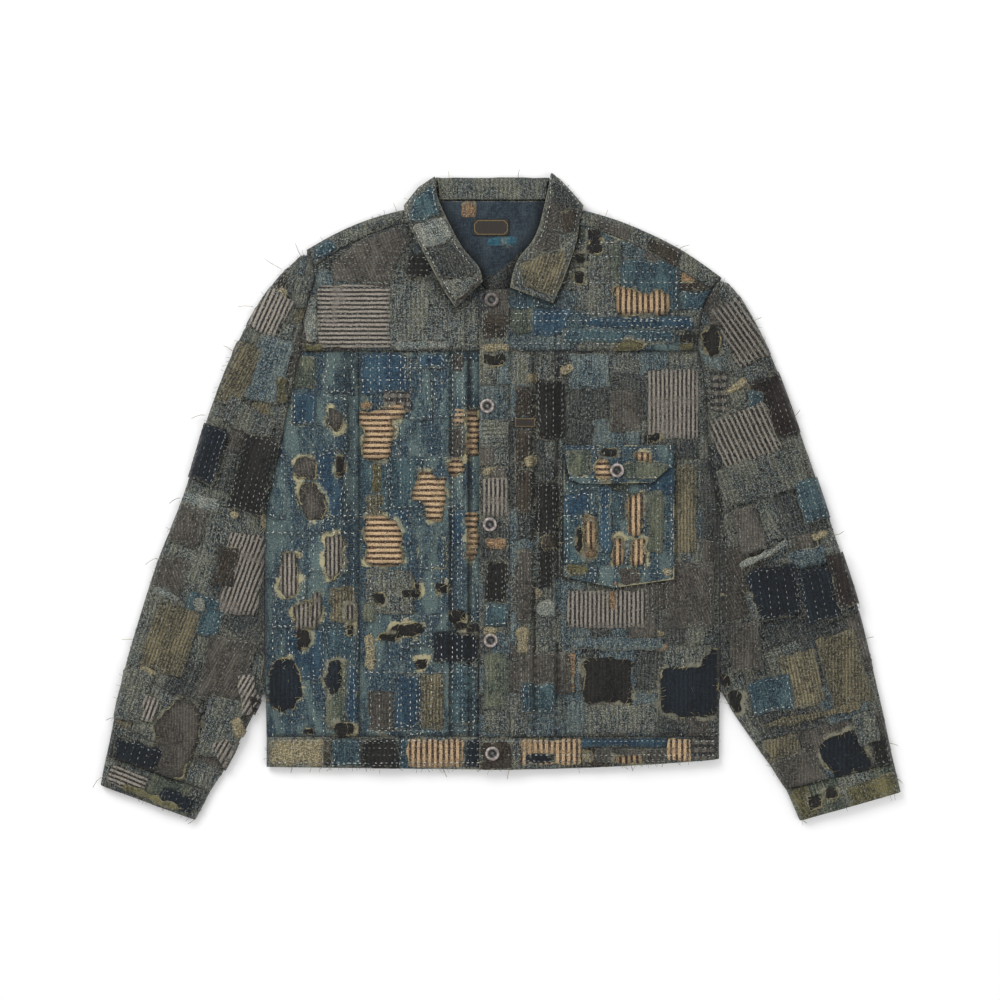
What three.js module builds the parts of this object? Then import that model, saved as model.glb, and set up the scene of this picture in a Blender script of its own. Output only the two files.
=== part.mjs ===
// A patched work jacket, laid flat on its back with its sleeves down, in millimetres.
// +Z is up off the table, +Y runs from hem to collar, and the wearer's right side is at -X.
// Each piece of cloth is a wall on a surface worked out from the outline of the garment: an upper
// and a lower layer lie on each other and round over to meet at each folded edge.
import * as THREE from 'three';

// Driving sizes
const WALL = 3; // ground cloth with its patches and running stitches
const THIN = 2; // pocket, flap and collar cloth
const LINING = 1.5;
const LABEL = 1;
const SEAM = 0.4; // gap between pieces that are sewn to each other
const LIES_ON = 1; // gap under a piece that is sewn on top of a creased one
const LAID = 9.6; // height of the two layers as they lie
const MIDDLE = LAID / 2; // height of the folded edges
const ROLL = 10; // distance over which the upper layer rounds down to an edge
const UNDER_ROLL = 5; // the same for the lower layer, which the table flattens
const OVERLAP_RISE = WALL + SEAM; // the buttonhole side lies on the button side
const COLLAR_LIFT = THIN + SEAM; // the fall of the collar lies under the back of the neck
const LEAF_LIFT = 1.2; // air under the turned-down collar

const YOKE_SEAM_Y = 171;
const WAIST_SEAM_Y = -272;
const SIDE_PANEL_X = -163;
const BAND_EDGE_X = -25; // buttonhole band
const BAND_SEAM_X = 10;
const UNDER_EDGE_X = 5; // edge of the right front, under the band

const CLOTH = { slate: 0x4a4f4f, indigo: 0x33485a, navy: 0x263040, khaki: 0x6b6655 };
const HORN = 0xa9a09c;
const BLACK_LABEL = 0x231f1c;

// Outline, from the shoulder tip down. The 6th armhole corner is on the back yoke seam and the
// 7th on the front one, so that neighbours share their corners.
const ARMHOLE_RIGHT = [[-224, 288], [-215, 268], [-214, 250], [-221, 228], [-227, 205],
  [-228.5, 182], [-229.5, YOKE_SEAM_Y], [-237, 140], [-244, 110], [-250, 80], [-256, 50],
  [-263, 20], [-272, -20]];
const ARMHOLE_LEFT = [[254, 256], [243, 242], [236, 229], [231, 215], [227.5, 199],
  [226, 182], [226.5, YOKE_SEAM_Y], [231.5, 150], [236, 120], [237, 90], [238.5, 60],
  [243, 30], [252, -20]];
const SIDE_RIGHT = [[-272, -20], [-272, -70], [-272, -120], [-271.5, -170], [-271, -220],
  [-270, WAIST_SEAM_Y], [-270, -307]];
const SIDE_LEFT = [[252, -20], [252, -70], [252, -120], [252, -170], [251.5, -220],
  [251, WAIST_SEAM_Y], [251, -298]];
const SHOULDER_RIGHT = [[-224, 288], [-192, 306], [-158, 321], [-120, 332], [-84, 338]];
const SHOULDER_LEFT = [[254, 256], [206, 289], [150, 316], [104, 331], [66, 338]];
const NECKLINE = [[-84, 338], [-58, 341], [-10, 341], [40, 341], [66, 338]];
const SLEEVE_OUTER_RIGHT = [[-224, 288], [-265, 245], [-299, 189], [-333, 109], [-367, 0],
  [-397, -75], [-432, -190], [-449, -270], [-461, -328]];
const SLEEVE_OUTER_LEFT = [[254, 256], [277, 230], [312, 163], [345, 75], [382, -35],
  [411, -125], [434, -220], [450, -294], [460, -336]];
const SLEEVE_INNER_RIGHT = [[-272.6, -20], [-273.5, -60], [-274, -120], [-274, -170],
  [-275, -216], [-290, -256], [-304, -283], [-319, -311], [-335, -335], [-352, -368]];
const SLEEVE_INNER_LEFT = [[252.6, -20], [253.6, -60], [254, -120], [254, -170],
  [254, -218], [268, -246], [284, -269], [308, -302], [328, -332], [344, -369]];
const CUFF_SEAM_SHARE = 0.945; // where the cuff begins on the outer line
const BACK_YOKE_CORNER = 5;
const FRONT_YOKE_CORNER = 6;

// Creases of the upper layer: [from, to, half width, rise]
const CREASES = [
  [[-162, 168], [-160, -262], 6, 2.4], // tuck beside the right side panel
  [[-60, 166], [-60, -262], 5, 2.2], // front pleats, right
  [[-39, 166], [-38, -262], 5, 2.0],
  [[40, 166], [38, -262], 6, 2.2], // front pleats, left
  [[66, 166], [66, -262], 6, 2.2],
  [[96, 150], [108, 96], 10, 1.4], // slack of the fronts
  [[80, -170], [130, -250], 12, 1.8],
  [[-120, -160], [-90, -250], 12, 1.8],
  [[-200, -60], [-248, -140], 12, 1.6],
  [[-330, 20], [-288, -20], 14, 1.8], // slack of the sleeves
  [[-400, -150], [-330, -175], 16, 2.2],
  [[-430, -250], [-350, -290], 14, 1.8],
  [[300, 20], [350, -10], 14, 1.8],
  [[290, -130], [400, -165], 16, 2.2],
  [[330, -250], [430, -275], 14, 1.8],
];

// Lines

const point = ([x, y]) => new THREE.Vector2(x, y);
const moved = (points, x, y = 0) => points.map(([px, py]) => [px + x, py + y]);
const trimmed = (points, top, bottom) =>
  points.map(([x, y], i) => [x, y - (i === 0 ? top : 0) + (i === points.length - 1 ? bottom : 0)]);

// Through each corner in equal steps, so that a stop of 1/n falls on each of n + 1 corners
const through = (points) => (t) => {
  const scaled = THREE.MathUtils.clamp(t, 0, 1) * (points.length - 1);
  const index = Math.min(Math.floor(scaled), points.length - 2);
  return point(points[index]).lerp(point(points[index + 1]), scaled - index);
};
const smooth = (points) => {
  const spline = new THREE.SplineCurve(points.map(point));
  return (t) => spline.getPointAt(THREE.MathUtils.clamp(t, 0, 1));
};
const reversed = (line) => (t) => line(1 - t);

// Surface between four lines that meet at the corners
const patch = (top, bottom, left, right) => (u, v) => {
  const corners = top(0).lerp(top(1), u).lerp(bottom(0).lerp(bottom(1), u), v);
  return top(u).lerp(bottom(u), v).add(left(v).lerp(right(v), u)).sub(corners);
};
const ruled = (left, right) => (u, v) => left(v).lerp(right(v), u);

// Folded edges, each with a direction that points into the cloth
const edge = (line, x, y) => ({
  corners: Array.from({ length: 61 }, (_, i) => line(i / 60)),
  inward: new THREE.Vector2(x, y),
});
const shoulderRight = smooth(SHOULDER_RIGHT);
const shoulderLeft = smooth(SHOULDER_LEFT);
const sleeveOuterRight = smooth(SLEEVE_OUTER_RIGHT);
const sleeveOuterLeft = smooth(SLEEVE_OUTER_LEFT);
const SHOULDER_EDGES = [edge(shoulderRight, 0.4, -1), edge(shoulderLeft, -0.4, -1),
  edge(sleeveOuterRight, 1, -0.4), edge(sleeveOuterLeft, -1, -0.4)];
const BODY_EDGES = [...SHOULDER_EDGES, edge(through(SIDE_RIGHT), 1, 0),
  edge(through(SIDE_LEFT), -1, 0)];
const SLEEVE_EDGES = [...SHOULDER_EDGES, edge(through(SLEEVE_INNER_RIGHT), -1, 0.3),
  edge(through(SLEEVE_INNER_LEFT), 1, 0.3)];

// Distance to the nearest folded edge, and the way into the cloth from there
function nearestEdge(p, edges) {
  const best = { distance: Infinity, into: new THREE.Vector2() };
  for (const { corners, inward } of edges) {
    for (let i = 1; i < corners.length; i += 1) {
      const along = corners[i].clone().sub(corners[i - 1]);
      const from = p.clone().sub(corners[i - 1]);
      const share = THREE.MathUtils.clamp(from.dot(along) / along.lengthSq(), 0, 1);
      const away = from.addScaledVector(along, -share);
      if (away.length() < best.distance) {
        best.distance = away.length();
        const square = new THREE.Vector2(-along.y, along.x).normalize();
        best.into = away.length() > 0.5 ? away.normalize()
          : square.multiplyScalar(Math.sign(square.dot(inward)));
      }
    }
  }
  return best;
}

function distanceToSegment(p, a, b) {
  const along = point(b).sub(point(a));
  const from = p.clone().sub(point(a));
  const share = THREE.MathUtils.clamp(from.dot(along) / along.lengthSq(), 0, 1);
  return from.addScaledVector(along, -share).length();
}

// Heights of the two layers

const ease = THREE.MathUtils.smoothstep;
const creaseHeight = (p) => CREASES.reduce((sum, [from, to, width, rise]) =>
  sum + rise * Math.exp(-((distanceToSegment(p, from, to) / width) ** 2)), 0);
const neckLift = (p) =>
  COLLAR_LIFT * ease(p.y, 262, 298) * (1 - ease(Math.abs(p.x + 9), 104, 150));

// A point of the outer face and the way its wall leans: upright on the flat, level at a fold
function onLayer(p, edges, roll, side, rise) {
  const { distance, into } = nearestEdge(p, edges);
  const rest = 1 - Math.min(distance, roll) / roll;
  const round = Math.sqrt(1 - rest * rest);
  return {
    at: new THREE.Vector3(p.x, p.y,
      neckLift(p) + MIDDLE + side * (SEAM / 2 + (MIDDLE - SEAM / 2 + rise) * round)),
    lean: new THREE.Vector3(-into.x * rest, -into.y * rest, side * round),
  };
}
const upperLayer = (plan, edges, rise = () => 0) => (u, v) => {
  const p = plan(u, v);
  return onLayer(p, edges, ROLL, 1, creaseHeight(p) + rise(p));
};
const lowerLayer = (plan, edges) => (u, v) => onLayer(plan(u, v), edges, UNDER_ROLL, -1, 0);

// What lies on a panel is made from the panel's height moved out
const raised = (plan, height) => (u, v) => {
  const p = plan(u, v);
  return { at: new THREE.Vector3(p.x, p.y, height(p)), lean: new THREE.Vector3(0, 0, 1) };
};
const overlapRise = (p) =>
  OVERLAP_RISE * (1 - ease(p.x, BAND_SEAM_X + 6, BAND_SEAM_X + 26));
const flatTop = (p) => LAID + creaseHeight(p) + neckLift(p);
const leftFrontTop = (p) => flatTop(p) + overlapRise(p);

// Walls of cloth

const evenly = (count, from = 0, to = 1) =>
  Array.from({ length: count + 1 }, (_, i) => from + ((to - from) * i) / count);
const EDGE_STEPS = [0, 0.006, 0.03]; // crowded towards a folded edge
const fromEdge = (count) => [...EDGE_STEPS, ...evenly(count, 0.08, 1)];
const toEdge = (count) => fromEdge(count).map((t) => 1 - t).reverse();
const betweenEdges = (count) =>
  [...EDGE_STEPS, ...evenly(count, 0.09, 0.91), ...EDGE_STEPS.map((t) => 1 - t).reverse()];

// Closed wall: face(u, v) gives its outer face and the way it leans, us and vs are the stops
function wall(name, face, us, vs, thickness, colour) {
  const grid = vs.flatMap((v) => us.map((u) => face(u, v)));
  const outer = grid.map(({ at }) => at);
  const inner = grid.map(({ at, lean }) => at.clone().addScaledVector(lean, -thickness));
  const width = us.length;
  const half = grid.length;
  const index = (i, j, layer) => layer * half + j * width + i;
  const triangles = [];
  const quad = (a, b, c, d) => triangles.push([a, b, c], [a, c, d]);
  for (let j = 0; j + 1 < vs.length; j += 1) {
    for (let i = 0; i + 1 < width; i += 1) {
      quad(index(i, j, 0), index(i + 1, j, 0), index(i + 1, j + 1, 0), index(i, j + 1, 0));
      quad(index(i, j + 1, 1), index(i + 1, j + 1, 1), index(i + 1, j, 1), index(i, j, 1));
    }
  }
  const rim = [];
  for (let i = 0; i + 1 < width; i += 1) rim.push([i, 0]);
  for (let j = 0; j + 1 < vs.length; j += 1) rim.push([width - 1, j]);
  for (let i = width - 1; i > 0; i -= 1) rim.push([i, vs.length - 1]);
  for (let j = vs.length - 1; j > 0; j -= 1) rim.push([0, j]);
  rim.forEach(([i, j], k) => {
    const [ni, nj] = rim[(k + 1) % rim.length];
    quad(index(ni, nj, 0), index(i, j, 0), index(i, j, 1), index(ni, nj, 1));
  });
  const corners = [...outer, ...inner];
  const volume = triangles.reduce((sum, [a, b, c]) =>
    sum + corners[a].dot(corners[b].clone().cross(corners[c])), 0);
  if (volume < 0) triangles.forEach((t) => t.reverse());
  const geometry = new THREE.BufferGeometry()
    .setAttribute('position', new THREE.Float32BufferAttribute(
      corners.flatMap((p) => p.toArray()), 3))
    .setIndex(triangles.flat());
  geometry.computeVertexNormals();
  return part(name, geometry, colour, 0.95);
}

function part(name, geometry, colour, roughness) {
  const material = new THREE.MeshStandardMaterial({ color: colour, roughness, metalness: 0 });
  const mesh = new THREE.Mesh(geometry, material);
  mesh.name = name;
  return mesh;
}

const jacket = new THREE.Group();
jacket.name = 'jacket';

// Fronts, below the yoke seam. The left front starts at the level of the buttonhole band.
const frontFlank = (armhole, side) => through(trimmed(
  [...armhole.slice(FRONT_YOKE_CORNER), ...side.slice(1, 6)], SEAM / 2, SEAM / 2));
const frontFlankRight = frontFlank(ARMHOLE_RIGHT, SIDE_RIGHT);
const frontFlankLeft = frontFlank(ARMHOLE_LEFT, SIDE_LEFT);
const FRONT_ROWS = evenly(11);
const upright = (x, flank) => (t) => new THREE.Vector2(x, flank(t).y);
jacket.add(
  wall('front_side_panel_right', upperLayer(
    ruled(frontFlankRight, upright(SIDE_PANEL_X - SEAM, frontFlankRight)), BODY_EDGES),
  fromEdge(5), FRONT_ROWS, WALL, CLOTH.indigo),
  wall('front_panel_right', upperLayer(
    ruled(upright(SIDE_PANEL_X, frontFlankRight), upright(UNDER_EDGE_X, frontFlankRight)),
    BODY_EDGES), evenly(22), FRONT_ROWS, WALL, CLOTH.slate),
  wall('front_panel_left', upperLayer(
    ruled(upright(BAND_SEAM_X + SEAM, frontFlankLeft), frontFlankLeft), BODY_EDGES, overlapRise),
  toEdge(22), FRONT_ROWS, WALL, CLOTH.slate),
);

// Front yokes, from the shoulder seam to the yoke seam
const SHOULDER_SEAM_RIGHT = [ARMHOLE_RIGHT[1], [-186, 288], [-150, 306], [-118, 317], [-86, 322]];
const SHOULDER_SEAM_LEFT = [ARMHOLE_LEFT[1], [200, 268], [150, 296], [108, 312], [74, 320]];
const YOKE_ROWS = evenly(5);
const shoulderSeamRight = through(SHOULDER_SEAM_RIGHT);
const shoulderSeamLeft = through(SHOULDER_SEAM_LEFT);
const yokeFlank = (armhole) =>
  through(trimmed(armhole.slice(1, FRONT_YOKE_CORNER + 1), 2 * SEAM, SEAM / 2));
const below = (line) => (t) => line(t).sub(new THREE.Vector2(0, 2 * SEAM));
const yokeFoot = YOKE_SEAM_Y + SEAM / 2;
const yokeEndRight = through([[-86, 322 - 2 * SEAM], [-72, 302], [-52, 276], [-30, 256],
  [UNDER_EDGE_X - 20, 238], [UNDER_EDGE_X, yokeFoot]]);
const yokeEndLeft = through([[74, 320 - 2 * SEAM], [58, 300], [42, 278], [26, 262],
  [BAND_SEAM_X + SEAM, 244], [BAND_SEAM_X + SEAM, yokeFoot]]);
jacket.add(
  wall('front_yoke_right', upperLayer(patch(
    below(shoulderSeamRight), through([[ARMHOLE_RIGHT[6][0], yokeFoot], [UNDER_EDGE_X, yokeFoot]]),
    yokeFlank(ARMHOLE_RIGHT), yokeEndRight), BODY_EDGES),
  evenly(8), YOKE_ROWS, WALL, CLOTH.slate),
  wall('front_yoke_left', upperLayer(patch(
    reversed(below(shoulderSeamLeft)),
    through([[BAND_SEAM_X + SEAM, yokeFoot], [ARMHOLE_LEFT[6][0], yokeFoot]]),
    yokeEndLeft, yokeFlank(ARMHOLE_LEFT)), BODY_EDGES, overlapRise),
  evenly(8), YOKE_ROWS, WALL, CLOTH.indigo),
);

// Buttonhole band, which lies on the edge of the right front
jacket.add(wall('buttonhole_band', raised(
  ruled(through([[BAND_EDGE_X, 240], [BAND_EDGE_X, WAIST_SEAM_Y + SEAM / 2]]),
    through([[BAND_SEAM_X, 243], [BAND_SEAM_X, WAIST_SEAM_Y + SEAM / 2]])),
  (p) => flatTop(p) + OVERLAP_RISE), evenly(2), evenly(12), WALL, CLOTH.slate));

// Waistband: two fronts, of which the left one laps over the right, and a back
const hemY = (x) => (x < -13 ? -307 - (3 * (x + 270)) / 257 : -310 + 12 * ((x + 13) / 264) ** 2);
const waistTop = WAIST_SEAM_Y - SEAM / 2;
const waistband = (from, to) => (u, v) => {
  const x = from + (to - from) * u;
  return new THREE.Vector2(x, waistTop + (hemY(x) - waistTop) * v);
};
const BAND_ROWS = evenly(2);
const frontBandRise = (p) => OVERLAP_RISE * (1 - ease(p.x, BAND_SEAM_X, BAND_SEAM_X + 20));
jacket.add(
  wall('waistband_front_right', upperLayer(waistband(-270, UNDER_EDGE_X), BODY_EDGES),
    fromEdge(14), BAND_ROWS, WALL, CLOTH.khaki),
  wall('waistband_front_left', upperLayer(waistband(BAND_EDGE_X, 251), BODY_EDGES, frontBandRise),
    toEdge(14), BAND_ROWS, WALL, CLOTH.khaki),
  wall('waistband_back', lowerLayer(waistband(-270, 251), BODY_EDGES),
    betweenEdges(6), BAND_ROWS, WALL, CLOTH.khaki),
);

// Back, which lies on the table
const backFlank = (armhole, side) => through(trimmed(
  [...armhole.slice(BACK_YOKE_CORNER), ...side.slice(1, 6)], SEAM, SEAM / 2));
jacket.add(wall('back_panel', lowerLayer(
  ruled(backFlank(ARMHOLE_RIGHT, SIDE_RIGHT), backFlank(ARMHOLE_LEFT, SIDE_LEFT)), BODY_EDGES),
betweenEdges(4), evenly(12), WALL, CLOTH.slate));

// Back yoke: up the back, over the shoulders and down to the shoulder seams on the front.
// Between the shoulders it ends at the neckline.
const SHOULDER_SHARE = 0.35; // of the width, at each side
const acrossYoke = (right, middle, left) => (u) => {
  if (u < SHOULDER_SHARE) return right(u / SHOULDER_SHARE);
  if (u > 1 - SHOULDER_SHARE) return left((1 - u) / SHOULDER_SHARE);
  return middle((u - SHOULDER_SHARE) / (1 - 2 * SHOULDER_SHARE));
};
const neckline = through(NECKLINE);
const yokeTopEdge = acrossYoke(shoulderRight, neckline, shoulderLeft);
const yokeTurn = acrossYoke(shoulderSeamRight,
  (t) => neckline(t).add(new THREE.Vector2(0, 1)), shoulderSeamLeft);
const armholeUp = (armhole) => through(armhole.slice(0, BACK_YOKE_CORNER + 1).reverse());
const backYokePlan = patch(
  through([ARMHOLE_RIGHT[BACK_YOKE_CORNER], ARMHOLE_LEFT[BACK_YOKE_CORNER]]), yokeTopEdge,
  armholeUp(ARMHOLE_RIGHT), armholeUp(ARMHOLE_LEFT));
function backYoke(u, v) {
  if (v <= 1) return onLayer(backYokePlan(u, v), BODY_EDGES, UNDER_ROLL, -1, 0);
  const p = yokeTopEdge(u).lerp(yokeTurn(u), v - 1);
  const shoulder = Math.abs(u - 0.5) > 0.5 - SHOULDER_SHARE;
  return shoulder ? onLayer(p, BODY_EDGES, ROLL, 1, creaseHeight(p))
    : onLayer(p, BODY_EDGES, UNDER_ROLL, -1, 0);
}
const yokeColumns = [...evenly(8, 0, SHOULDER_SHARE - 1e-6),
  ...evenly(4, SHOULDER_SHARE + 0.012, 1 - SHOULDER_SHARE - 0.012),
  ...evenly(8, 1 - SHOULDER_SHARE + 1e-6, 1)];
jacket.add(wall('back_yoke', backYoke, yokeColumns,
  [...evenly(5, 0, 1).slice(0, -1), 0.96, 0.99, 1, 1.02, 1.15, 1.45, 2],
  WALL, CLOTH.slate));

// Sleeves: one piece each, folded along the outer edge, with its seam at the inner edge. A row
// runs from the armhole or the inner edge to the outer edge, and back again underneath.
const SLEEVE_COLUMNS = [...betweenEdges(5).map((t) => t / 2),
  ...betweenEdges(2).slice(1).map((t) => 0.5 + t / 2)];
const foldedTube = (inner, outer) => (u, v) => {
  const side = u <= 0.5 ? 1 : -1;
  const p = inner(v).lerp(outer(v), u <= 0.5 ? 2 * u : 2 - 2 * u);
  return onLayer(p, SLEEVE_EDGES, side > 0 ? ROLL : UNDER_ROLL, side,
    side > 0 ? creaseHeight(p) : 0);
};
function addSleeve(name, armhole, innerPoints, outerLine, shift) {
  const head = moved(armhole.slice(0, -1), shift);
  head[0] = [(2 * head[0][0] + head[1][0]) / 3, (2 * head[0][1] + head[1][1]) / 3];
  const rows = [...head, ...innerPoints.slice(0, -1)];
  const armpit = head.length / (rows.length - 1);
  const share = (v) => CUFF_SEAM_SHARE * (v < armpit ? 0.015 + (0.455 * v) / armpit
    : 0.47 + (0.53 * (v - armpit)) / (1 - armpit));
  const inner = through(rows);
  const outer = (v) => outerLine(share(v));
  jacket.add(wall(`sleeve_${name}`, foldedTube(inner, outer), SLEEVE_COLUMNS,
    evenly(rows.length - 1), WALL, CLOTH.slate));
  const gap = point(innerPoints.at(-1)).sub(inner(1)).normalize().multiplyScalar(SEAM);
  jacket.add(wall(`cuff_${name}`, foldedTube(
    through([inner(1).add(gap).toArray(), innerPoints.at(-1)]),
    (v) => outerLine(CUFF_SEAM_SHARE).add(gap).lerp(outerLine(1), v)),
  SLEEVE_COLUMNS, BAND_ROWS, WALL, CLOTH.khaki));
}
addSleeve('right', ARMHOLE_RIGHT, SLEEVE_INNER_RIGHT, sleeveOuterRight, -0.6);
addSleeve('left', ARMHOLE_LEFT, SLEEVE_INNER_LEFT, sleeveOuterLeft, 0.6);

// Collar: the two turned-down leaves, and the back, which stands at the neck and falls behind it
const LEAF_ROLL = 14;
const LEAF_EDGE_Z = 8.2; // where a leaf folds round the shoulder to the back
const FALL_RISE = LEAF_EDGE_Z - 2 * THIN - SEAM;
const foldLineRight = through([[-77, 372], [-95, 360], [-104, 349], [-112, 339]]);
const foldLineLeft = through([[59, 376], [68, 369], [82, 354], [95, 339]]);
const foldEdges = [edge(foldLineRight, 1, -1), edge(foldLineLeft, -1, -1)];
const LIP_DROP = 4.4;
function leaf(name, foldLine, freeEdge, innerEdge) {
  const outer = (t) => (t < 0.25 ? foldLine(t * 4) : freeEdge((t - 0.25) / 0.75));
  const plan = ruled(outer, innerEdge);
  const face = (u, v) => {
    const p = plan(u, v);
    const { distance } = nearestEdge(p, foldEdges);
    const round = Math.sqrt(1 - (1 - Math.min(distance, LEAF_ROLL) / LEAF_ROLL) ** 2);
    const top = LAID + neckLift(p) + overlapRise(p) * ease(-p.y, -300, -262)
      + SEAM + THIN + LEAF_LIFT;
    const lip = LIP_DROP * ease(u, 0.9, 1) ** 2 * (1 - ease(v, 0.7, 0.95));
    const z = THREE.MathUtils.lerp(LEAF_EDGE_Z, top, round) - lip * round;
    return { at: new THREE.Vector3(p.x, p.y, z), lean: new THREE.Vector3(0, 0, 1) };
  };
  return wall(name, face, [0, 0.3, 0.6, 0.88, 0.94, 1], evenly(16), THIN, CLOTH.navy);
}
jacket.add(
  leaf('collar_leaf_right', foldLineRight,
    smooth([[-112, 339], [-108, 320], [-92, 290], [-68, 245], [-52, 221]]),
    smooth([[-75, 370], [-74, 352], [-69, 338], [-58, 315], [-44, 290], [-26, 268], [-21, 251]])),
  leaf('collar_leaf_left', foldLineLeft,
    smooth([[95, 339], [90, 320], [87, 298], [75, 262], [60, 226]]),
    smooth([[57, 375], [54, 358], [50, 340], [44, 316], [36, 298], [21, 279], [14, 262],
      [10.5, 244]])),
);
const STAND_PROFILE = [[346, 7.4], [352, 7.8], [360, 7.6], [366, 6.8], [370, 5.4], [371.5, 3.6],
  [370.5, 1.6], [367, 0.4], [361, 0], [350, 0], [338, 0], [320, 0], [302, 0]];
const standProfile = new THREE.SplineCurve(STAND_PROFILE.map(point));
const standHalf = through([[61, 0], [61.5, 0], [62, 0], [63, 0], [64, 0], [65, 0], [65.5, 0],
  [69, 0], [78, 0], [94, 0], [102, 0], [98, 0], [93, 0]]);
jacket.add(wall('collar_back', (u, v) => {
  const { x: y, y: z } = standProfile.getPoint(v);
  const tangent = standProfile.getTangent(v);
  const side = 2 * u - 1;
  const rise = v < 0.55 ? 0 : FALL_RISE * ease(Math.abs(side), 0.88, 1) * ease(y, 336, 346)
    * ease(v, 0.55, 0.68);
  return {
    at: new THREE.Vector3(-9.5 + side * standHalf(v).x, y, z + rise),
    lean: new THREE.Vector3(0, -tangent.y, tangent.x),
  };
}, [0, 0.06, ...evenly(3, 0.15, 0.85), 0.94, 1], evenly(18), THIN, CLOTH.navy));

// Lining of the back neck, with its label
const backInside = (p) => neckLift(p) + WALL;
const liningTop = (p) => backInside(p) + 0.7 + LINING;
jacket.add(
  wall('neck_lining', raised(
    ruled(through([[-70, 344], [-92, 300], [-96, 238]]),
      through([[52, 344], [72, 300], [76, 238]])), liningTop),
  evenly(6), evenly(6), LINING, CLOTH.navy),
  wall('neck_label', raised(
    ruled(through([[-32, 323], [-32, 304]]), through([[9, 323], [9, 304]])),
    (p) => liningTop(p) + SEAM + LABEL), evenly(1), evenly(2), LABEL, BLACK_LABEL),
);

// Pocket, its flap and the small tag on the left front
const POCKET_RIGHT_X = 72;
const POCKET_LEFT_X = 199;
const onLeftFront = (p) => leftFrontTop(p) + LIES_ON + THIN;
const flapRise = (p) => (THIN + LIES_ON) * ease(-p.y, -60, -50);
jacket.add(
  wall('pocket', raised(patch(
    through([[POCKET_RIGHT_X, 46], [POCKET_LEFT_X, 46]]),
    through([[POCKET_RIGHT_X, -88], [129, -101], [POCKET_LEFT_X, -91]]),
    through([[POCKET_RIGHT_X, 46], [POCKET_RIGHT_X, -88]]),
    through([[POCKET_LEFT_X, 46], [POCKET_LEFT_X, -91]])), onLeftFront),
  evenly(10), evenly(4), THIN, CLOTH.indigo),
  wall('pocket_flap', raised(patch(
    through([[70, 63], [POCKET_LEFT_X, 63]]),
    through([[79, 24], [92, 18.5], [134, 19], [174, 20], [197, 41]]),
    through([[70, 63], [79, 24]]),
    through([[POCKET_LEFT_X, 63], [197, 41]])), (p) => onLeftFront(p) + flapRise(p)),
  evenly(8), evenly(6), THIN, CLOTH.slate),
  wall('chest_tag', raised(
    ruled(through([[15, 95], [15, 83]]), through([[40, 95], [40, 83]])),
    (p) => leftFrontTop(p) + LIES_ON + LABEL), evenly(3), evenly(1), LABEL, BLACK_LABEL),
);

// Buttons: a raised ring round a sunk middle, on a short shank
const BUTTON_PROFILE = [[0, 1.8], [3, 1.8], [6, 4], [8.3, 2.4], [7, 0.6], [3, 0], [0, 0]];
function addButton(name, x, y, z) {
  const profile = BUTTON_PROFILE.map(point).reverse();
  const geometry = new THREE.LatheGeometry(profile, 14).rotateX(Math.PI / 2);
  const button = part(name, geometry, HORN, 0.4);
  button.position.set(x, y, z);
  jacket.add(button);
}
const bandButtons = { neck: [-11, 230], chest: [-16, 108], waist: [-13, -28], low: [-12, -161] };
for (const [name, [x, y]] of Object.entries(bandButtons)) {
  addButton(`button_${name}`, x, y, flatTop(new THREE.Vector2(x, y)) + OVERLAP_RISE + SEAM);
}
addButton('button_hem', -10, -291, LAID + OVERLAP_RISE + SEAM);
addButton('button_pocket', 133, 34,
  onLeftFront(new THREE.Vector2(133, 34)) + THIN + LIES_ON + SEAM);

// The origin is the middle of the underside
jacket.updateMatrixWorld(true);
const box = new THREE.Box3().setFromObject(jacket);
const centre = box.getCenter(new THREE.Vector3());
jacket.position.set(-centre.x, -centre.y, -box.min.z);

export default jacket;
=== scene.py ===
# A patched work jacket, laid flat on its back with its front up and its sleeves down.
# Lengths are in millimetres of the garment's own pattern, +X to the wearer's left and +Y to the
# collar, until build() and laid() shift them to the frame and turn them into metres.
import math

import bpy
import numpy as np
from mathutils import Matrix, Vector, geometry


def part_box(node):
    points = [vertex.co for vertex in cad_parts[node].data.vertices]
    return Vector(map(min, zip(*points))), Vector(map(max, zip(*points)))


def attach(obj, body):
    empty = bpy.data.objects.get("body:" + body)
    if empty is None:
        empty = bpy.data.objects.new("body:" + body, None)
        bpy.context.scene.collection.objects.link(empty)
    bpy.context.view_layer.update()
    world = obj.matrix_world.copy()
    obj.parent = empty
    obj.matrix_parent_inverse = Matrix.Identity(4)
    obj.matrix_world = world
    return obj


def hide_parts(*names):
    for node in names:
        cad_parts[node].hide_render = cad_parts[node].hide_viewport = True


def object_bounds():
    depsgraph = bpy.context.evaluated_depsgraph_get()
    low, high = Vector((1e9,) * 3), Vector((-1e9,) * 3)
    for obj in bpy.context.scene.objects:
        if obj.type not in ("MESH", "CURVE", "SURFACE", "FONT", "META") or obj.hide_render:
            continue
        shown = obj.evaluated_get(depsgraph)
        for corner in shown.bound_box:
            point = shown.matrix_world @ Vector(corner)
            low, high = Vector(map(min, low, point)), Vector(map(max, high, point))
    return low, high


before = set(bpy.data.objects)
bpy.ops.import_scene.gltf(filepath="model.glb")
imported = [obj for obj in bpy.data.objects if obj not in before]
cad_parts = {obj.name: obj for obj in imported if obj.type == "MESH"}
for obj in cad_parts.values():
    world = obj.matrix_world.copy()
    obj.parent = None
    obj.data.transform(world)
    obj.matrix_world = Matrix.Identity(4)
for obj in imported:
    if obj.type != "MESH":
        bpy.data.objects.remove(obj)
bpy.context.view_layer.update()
MM = 0.001

# Driving sizes: thickness of the cloths
WALL = 3.0  # ground cloth
THIN = 2.0  # pocket, flap and collar cloth
LINING = 1.5
LABEL = 1.0
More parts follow.
